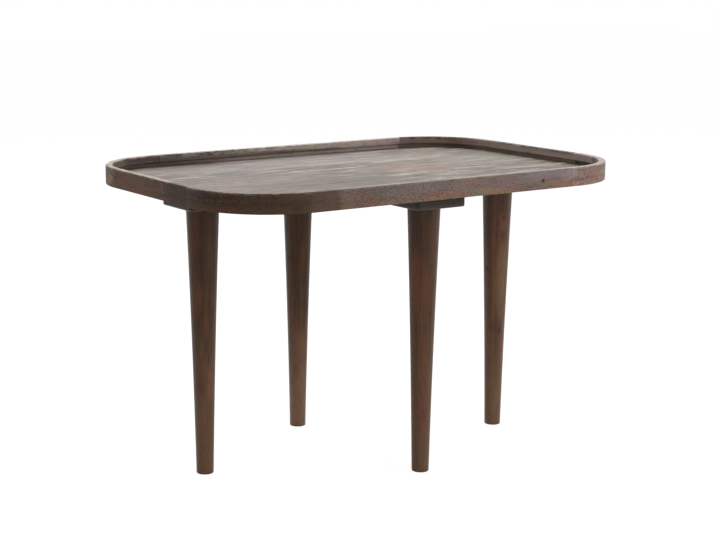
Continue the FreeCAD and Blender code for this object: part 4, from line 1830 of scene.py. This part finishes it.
@dataclass
class Support:
    """One leg with its block, bolt, sleeve and screws."""

    workshop: Workshop
    side: Side
    number: int
    foot_radius: float = 12.7 * MM
    hollow: float = 0.95 * MM
    foot_round: float = 1.2 * MM
    top_arris: float = 1 * MM
    row: float = 3 * MM
    bore_radius: float = 4.05 * MM
    bore_depth: float = 34 * MM
    leg_facets: int = 96
    block_corner: float = 3 * MM
    block_arris: float = 3 * MM
    block_levels: tuple[float, ...] = (0.3, 0.5, 0.7, 0.98)
    block_top_arris: float = 0.3 * MM
    least_corner: float = 0.4 * MM
    station: float = 5.8 * MM
    overrun: float = 2 * MM
    bolt_radius: float = 4 * MM
    bolt_low: float = 32 * MM
    bolt_high: float = 20 * MM
    bolt_shank: float = 4 * MM
    bolt_chamfer: float = 1 * MM
    sleeve_radius: float = 6 * MM
    sleeve_length: float = 19 * MM
    sleeve_neck: float = 0.5 * MM
    sleeve_facets: int = 48
    flange_radius: float = 8 * MM
    flange_height: float = 1.5 * MM
    fit: float = 0.05 * MM
    screw_offset: float = 28 * MM
    screw_radius: float = 2 * MM
    screw_head: float = 4 * MM
    screw_head_height: float = 2 * MM
    screw_head_arris: Point = (0.2 * MM, 0.15 * MM)
    screw_length: float = 28 * MM
    screw_shank: float = 8 * MM
    screw_tip: float = 4 * MM
    screw_fit: float = 0.1 * MM
    screw_facets: int = 32
    sink: float = 0.3 * MM
    recess_arm: Point = (2.1 * MM, 0.5 * MM)
    recess_levels: tuple[Point, Point] = ((-0.5 * MM, 1.0), (1.2 * MM, 0.55))
    rows_per_turn: int = 6
    wood_thread: Point = (3 * MM, 0.9 * MM)
    machine_thread: Point = (1.25 * MM, 0.6 * MM)
    sleeve_thread: Point = (3 * MM, 0.7 * MM)
    screw_thread: Point = (1.8 * MM, 0.6 * MM)
    relief: float = 0.12 * MM
    leg_stock: float = 300.0
    block_stock: float = 200.0
    stock_step: float = 11.3

    def __post_init__(self) -> None:
        """Read the leg's place, length and width and the block's size from the frame."""
        low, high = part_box("leg_" + self.side)
        self.foot = Vector(((low.x + high.x) / 2, (low.y + high.y) / 2, low.z))
        self.length = high.z - low.z
        self.top_radius = (high.x - low.x) / 2
        block_low, block_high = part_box("leg_block_" + self.side)
        self.half = (block_high.x - block_low.x) / 2
        self.block_height = block_high.z - block_low.z
        self.head = self.foot + Vector((0, 0, self.length))
        self.stock = self.leg_stock + self.stock_step * self.number

    def screw_places(self) -> list[Vector]:
        """Places of the screws' heads at the block's underside."""
        offset = self.screw_offset
        return [self.head + Vector((x, y, 0)) for x in (-offset, offset) for y in (-offset, offset)]

    def leg_profile(self) -> list[Point]:
        """Half section of the leg.

        Returns:
            Radius and height of each point, from the middle of its foot to the end of its bore.
        """
        body_low, body_high = self.foot_round, self.length - self.top_arris
        flat = self.foot_radius - self.foot_round
        rise = self.top_radius - self.foot_radius
        rows = math.ceil((body_high - body_low) / self.row)
        taper = []
        for row in range(1, rows):
            height = body_low + (body_high - body_low) * row / rows
            share = height / self.length
            hollow = 4 * self.hollow * share * (1 - share)
            taper.append((self.foot_radius + rise * share - hollow, height))
        return [
            *divided([(0.0, 0.0), (flat, 0.0)], self.row, False),
            *arc((flat, self.foot_round), self.foot_round, -90, 0, 5)[1:],
            *taper,
            *arc((self.top_radius - self.top_arris, body_high), self.top_arris, 0, 90, 5),
            (self.bore_radius, self.length),
            (self.bore_radius, self.length - self.bore_depth),
            (0.0, self.length - self.bore_depth),
        ]

    def build_leg(self) -> None:
        """Turn the leg and brush its grain."""
        shop, finish = self.workshop, LEG_FINISHES[self.side]
        piece = shop.profile("turned_leg_" + self.side, self.leg_profile())
        shop.lathe.use_on(piece, shop.paint(finish), Facets=self.leg_facets, Place=tuple(self.foot))
        shop.brush(piece, finish, Grain.ALONG_Z, self.relief, self.stock, self.foot)
        shop.deliver(piece, "leg_wood", "leg_" + self.side)

    def hole(self, wide: float, narrow: float, shoulder: float, slope: float) -> list[Point]:
        """Half section of a stepped hole through the block.

        Args:
            wide: radius at the block's underside.
            narrow: radius above the shoulder.
            shoulder: height where the wide part ends.
            slope: height over which it narrows.

        Returns:
            The points, from the axis under the block to the axis over it.
        """
        low, high = -self.overrun, self.block_height + self.overrun
        return [
            (0.0, low), (wide, low), (wide, shoulder),
            (narrow, shoulder + slope), (narrow, high), (0.0, high),
        ]

    def block_tool(self) -> bpy.types.Object:
        """Solids that open the block's holes.

        Returns:
            The sleeve's hole in the middle and the screws' round it, as one object.
        """
        fit, room = self.fit, self.screw_fit
        sleeve = self.hole(
            self.flange_radius + fit, self.sleeve_radius + fit, self.flange_height + fit, 0.0
        )
        screw = self.hole(
            self.screw_head + room, self.screw_radius + room, self.sink, self.screw_head_height
        )
        shape = turned_solids(sleeve, [self.head], self.sleeve_facets)
        shape = turned_solids(screw, self.screw_places(), self.screw_facets, shape)
        return self.workshop.stand("block_tool", shape)

    def build_block(self) -> None:
        """Square block with round lower edges, drilled for the sleeve and the screws."""
        shop = self.workshop
        rounding = arc((0.0, self.block_arris), self.block_arris, -90, 0, 6)
        levels = [(self.block_arris - out, up) for out, up in rounding]
        levels += [(0.0, self.block_height * share) for share in self.block_levels]
        levels += [(self.block_top_arris, self.block_height)]
        layers = []
        for inset, level in levels:
            corner = max(self.block_corner - inset, self.least_corner)
            ring = divided(rounded(self.half - inset, self.half - inset, corner, 5), self.station)
            layers.append([self.head + Vector((x, y, level)) for x, y in ring])
        piece = shop.stand("block_" + self.side, stacked(layers))
        tool = self.block_tool()
        shop.carve(piece, tool, Cut.AWAY)
        stock = self.block_stock + self.stock
        shop.brush(piece, BLOCK_WOOD, Grain.ALONG_X, self.relief, stock, self.head)
        shop.deliver(piece, "block_wood", "leg_block_" + self.side)
        shop.drop(tool)

    def threaded(self, low: float, high: float, radius: float, pitch: float, depth: float) -> Wall:
        """Rows of a threaded wall, rising.

        Args:
            low: height of its lower end.
            high: height of its upper end.
            radius: radius over the crests.
            pitch: height of one turn.
            depth: depth of the thread.

        Returns:
            The points, their thread depths and their turns.
        """
        ends = self.rows_per_turn
        rows = max(2, round((high - low) / pitch * ends))
        heights = [low + (high - low) * row / rows for row in range(rows + 1)]
        cuts = [depth * min(1.0, row / ends, (rows - row) / ends) for row in range(rows + 1)]
        return [(radius, height) for height in heights], cuts, [height / pitch for height in heights]

    def turn(self, name: str, facets: int, place: Sequence[float], *walls: Wall) -> bpy.types.Object:
        """Turn a steel piece.

        Args:
            name: the piece's name.
            facets: number of facets round it.
            place: where it stands.
            walls: its plain and threaded walls, from the axis or bore at its foot.

        Returns:
            The piece.
        """
        points, cuts, turns = ([row for wall in walls for row in wall[part]] for part in range(3))
        piece = self.workshop.profile(name, points, {"cut": cuts, "turns": turns})
        paint = self.workshop.paint(ZINC)
        self.workshop.lathe.use_on(piece, paint, Facets=facets, Place=tuple(place))
        return piece

    def build_bolt(self) -> None:
        """Hanger bolt: wood thread in the leg, machine thread in the sleeve."""
        radius, end, foot, head = self.bolt_radius, self.bolt_chamfer, -self.bolt_low, self.bolt_high
        piece = self.turn(
            "bolt_" + self.side, self.screw_facets, self.head,
            plain((0.0, foot), (radius - end, foot)),
            self.threaded(end - self.bolt_low, -self.bolt_shank, radius, *self.wood_thread),
            self.threaded(end, head - end, radius, *self.machine_thread),
            plain((radius - end, head), (0.0, head)),
        )
        self.workshop.deliver(piece, "steel", "hanger_bolt_" + self.side)

    def build_sleeve(self) -> None:
        """Flanged sleeve with a coarse thread outside."""
        bore, flange, radius = self.bore_radius, self.flange_radius, self.sleeve_radius
        neck, top = self.flange_height, self.sleeve_length
        piece = self.turn(
            "sleeve_" + self.side, self.sleeve_facets, self.head,
            plain((bore, 0.0), (flange, 0.0), (flange, neck), (radius, neck)),
            self.threaded(neck + self.sleeve_neck, top, radius, *self.sleeve_thread),
            plain((bore, top), (bore, 0.0)),
        )
        self.workshop.deliver(piece, "steel", "threaded_sleeve_" + self.side)

    def screw_pattern(self) -> bpy.types.Object:
        """One countersunk wood screw, head down, with a cross recess.

        Returns:
            The screw, that the screws of every block are copies of.
        """
        shop, arris = self.workshop, self.screw_head_arris
        head, radius, length = self.screw_head, self.screw_radius, self.screw_length
        piece = self.turn(
            "screw_pattern", self.screw_facets, (0.0, 0.0, 0.0),
            plain(
                (0.0, 0.0), (head * 0.5, 0.0), (head - arris[0], 0.0), (head, arris[1]),
                (radius, self.screw_head_height),
            ),
            self.threaded(self.screw_shank, length - self.screw_tip, radius, *self.screw_thread),
            plain((0.0, length)),
        )
        tool = shop.stand("recess_tool", self.recess_shape())
        shop.carve(piece, tool, Cut.AWAY)
        shop.settle(piece)
        shop.drop(tool)
        return piece

    def recess_shape(self) -> bmesh.types.BMesh:
        """Cross that narrows into the screw's head.

        Returns:
            The cross, from under the head to the recess's end.
        """
        layers = []
        for height, share in self.recess_levels:
            far, near = (size * share for size in self.recess_arm)
            ring = [
                (far, -near), (far, near), (near, near), (near, far), (-near, far), (-near, near),
                (-far, near), (-far, -near), (-near, -near), (-near, -far), (near, -far), (near, -near),
            ]
            layers.append([Vector((x, y, height)) for x, y in ring])
        return stacked(layers)

    def build_screws(self, pattern: bpy.types.Object) -> None:
        """Put the screws through the block, each turned by chance.

        Args:
            pattern: the screw that they are copies of.
        """
        shop = self.workshop
        places = [place + Vector((0, 0, self.sink)) for place in self.screw_places()]
        upright = [Vector((0, 0, 1))] * len(places)
        piece = shop.blank("screws_" + self.side, places, marks={"lay": upright})
        shop.scatter.use_on(piece, shop.paint(ZINC), Piece=pattern, Seed=self.number)
        shop.deliver(piece, "steel", "block_screws_" + self.side)

    def build(self, pattern: bpy.types.Object) -> None:
        """Build leg, block, bolt, sleeve and screws, in this order.

        Args:
            pattern: the screw that the block's screws are copies of.
        """
        self.build_leg()
        self.build_block()
        self.build_bolt()
        self.build_sleeve()
        self.build_screws(pattern)


@dataclass(frozen=True)
class PhotoCamera:
    """Camera at the photograph's viewing angle, in its own pixels."""

    width_px: float = 716.0
    height_px: float = 540.0
    focal_px: float = 1543.95
    middle_px: Point = (292.93, 235.04)
    azimuth: float = -35.057
    elevation: float = 11.871
    distance: float = 2.35303
    aim_height: float = 0.25
    pan: float = 2.396
    tilt: float = 1.950
    roll: float = -0.501
    sensor: float = 36.0

    def build(self) -> None:
        """Stand the camera and make it the scene's."""
        azimuth, elevation = math.radians(self.azimuth), math.radians(self.elevation)
        back = Vector((
            math.sin(azimuth) * math.cos(elevation),
            -math.cos(azimuth) * math.cos(elevation),
            math.sin(elevation),
        ))
        right = (-back).cross(Vector((0, 0, 1))).normalized()
        turned = Matrix.Identity(3)
        for angle, axis in ((self.roll, "Z"), (self.tilt, "X"), (self.pan, "Y")):
            turned = turned @ Matrix.Rotation(math.radians(angle), 3, axis)
        turned = turned @ Matrix((right, right.cross(-back), -back))
        data = bpy.data.cameras.new("photo_camera")
        data.sensor_fit = "HORIZONTAL"
        data.sensor_width = self.sensor
        data.lens = self.focal_px * self.sensor / self.width_px
        data.shift_x = (self.width_px / 2 - self.middle_px[0]) / self.width_px
        data.shift_y = (self.middle_px[1] - self.height_px / 2) / self.width_px
        camera = bpy.data.objects.new("photo_camera", data)
        facing = Matrix((turned[0], turned[1], -turned[2])).transposed().to_4x4()
        place = back * self.distance + Vector((0, 0, self.aim_height))
        camera.matrix_world = Matrix.Translation(place) @ facing
        bpy.context.scene.collection.objects.link(camera)
        bpy.context.scene.camera = camera


@dataclass(frozen=True)
class Lamp:
    """Square lamp turned to the table."""

    name: str
    power: float
    size: float
    place: Triple
    aim: Triple = (0.0, 0.0, 0.3)

    def build(self) -> None:
        """Hang the lamp."""
        data = bpy.data.lights.new(self.name, "AREA")
        data.energy = self.power
        data.size = self.size
        lamp = bpy.data.objects.new(self.name, data)
        lamp.location = self.place
        toward = Vector(self.aim) - Vector(self.place)
        lamp.rotation_euler = toward.to_track_quat("-Z", "Y").to_euler()
        bpy.context.scene.collection.objects.link(lamp)


@dataclass(frozen=True)
class Studio:
    """Pale floor, soft lamps and a white surround."""

    floor_half: float = 12.0
    floor_tone: float = 0.86
    shadow_share: float = 0.12
    white: float = 1.08
    sky_strength: float = 0.42
    key: Lamp = Lamp("key_lamp", 80.0, 2.2, (0.3, 0.9, 2.3))
    fill: Lamp = Lamp("fill_lamp", 30.0, 1.6, (1.0, -2.3, 1.2))

    def build(self) -> None:
        """Build floor, lamps and surround."""
        self.build_floor()
        self.key.build()
        self.fill.build()
        self.build_sky()
        bpy.context.scene.view_settings.view_transform = "Standard"

    def seen(self, graph: Graph) -> Socket:
        """One for rays that see the surround straight or in a reflection."""
        path = graph.node("ShaderNodeLightPath", output="Is Camera Ray")
        return path.most(path.other("Is Glossy Ray")).most(path.other("Is Transmission Ray"))

    def build_floor(self) -> None:
        """Wide level floor that shows nearly white and keeps a faint shadow."""
        half, tone = self.floor_half, self.floor_tone
        mesh = bpy.data.meshes.new("studio_floor")
        corners = [(-half, -half, 0.0), (half, -half, 0.0), (half, half, 0.0), (-half, half, 0.0)]
        mesh.from_pydata(corners, [], [(0, 1, 2, 3)])
        floor = bpy.data.objects.new("studio_floor", mesh)
        bpy.context.scene.collection.objects.link(floor)
        material = bpy.data.materials.new("studio_floor")
        graph = emptied(material)
        matt = graph.node("ShaderNodeBsdfDiffuse", {}, {"Color": (tone, tone, tone, 1.0)})
        white = graph.node("ShaderNodeEmission", {}, {"Strength": self.white})
        share = self.seen(graph) * (1 - self.shadow_share)
        shown = graph.node("ShaderNodeMixShader", {}, {0: share, 1: matt, 2: white})
        graph.node("ShaderNodeOutputMaterial", {}, {"Surface": shown})
        mesh.materials.append(material)

    def build_sky(self) -> None:
        """White surround, softer as a light than as a backdrop."""
        world = bpy.data.worlds.new("studio")
        graph = emptied(world)
        strength = self.sky_strength + self.seen(graph) * (1 - self.sky_strength)
        sky = graph.node("ShaderNodeBackground", {}, {
            "Color": (1.0, 1.0, 1.0, 1.0), "Strength": strength,
        })
        graph.node("ShaderNodeOutputWorld", {}, {"Surface": sky})
        bpy.context.scene.world = world


def main() -> None:
    """Build the table in order: rim, floor, supports, then the studio round it."""
    logging.basicConfig(level=logging.INFO, format="%(message)s")
    workshop = Workshop()
    outline = Outline(CAD_BOX[1].x, CAD_BOX[1].y)
    supports = [Support(workshop, side, number) for number, side in enumerate(Side)]
    Rim(workshop, outline).build()
    places = [place for support in supports for place in support.screw_places()]
    TrayFloor(workshop, outline, places).build()
    pattern = supports[0].screw_pattern()
    for support in supports:
        support.build(pattern)
    workshop.drop(pattern)
    PhotoCamera().build()
    Studio().build()


if __name__ == "__main__":
    main()
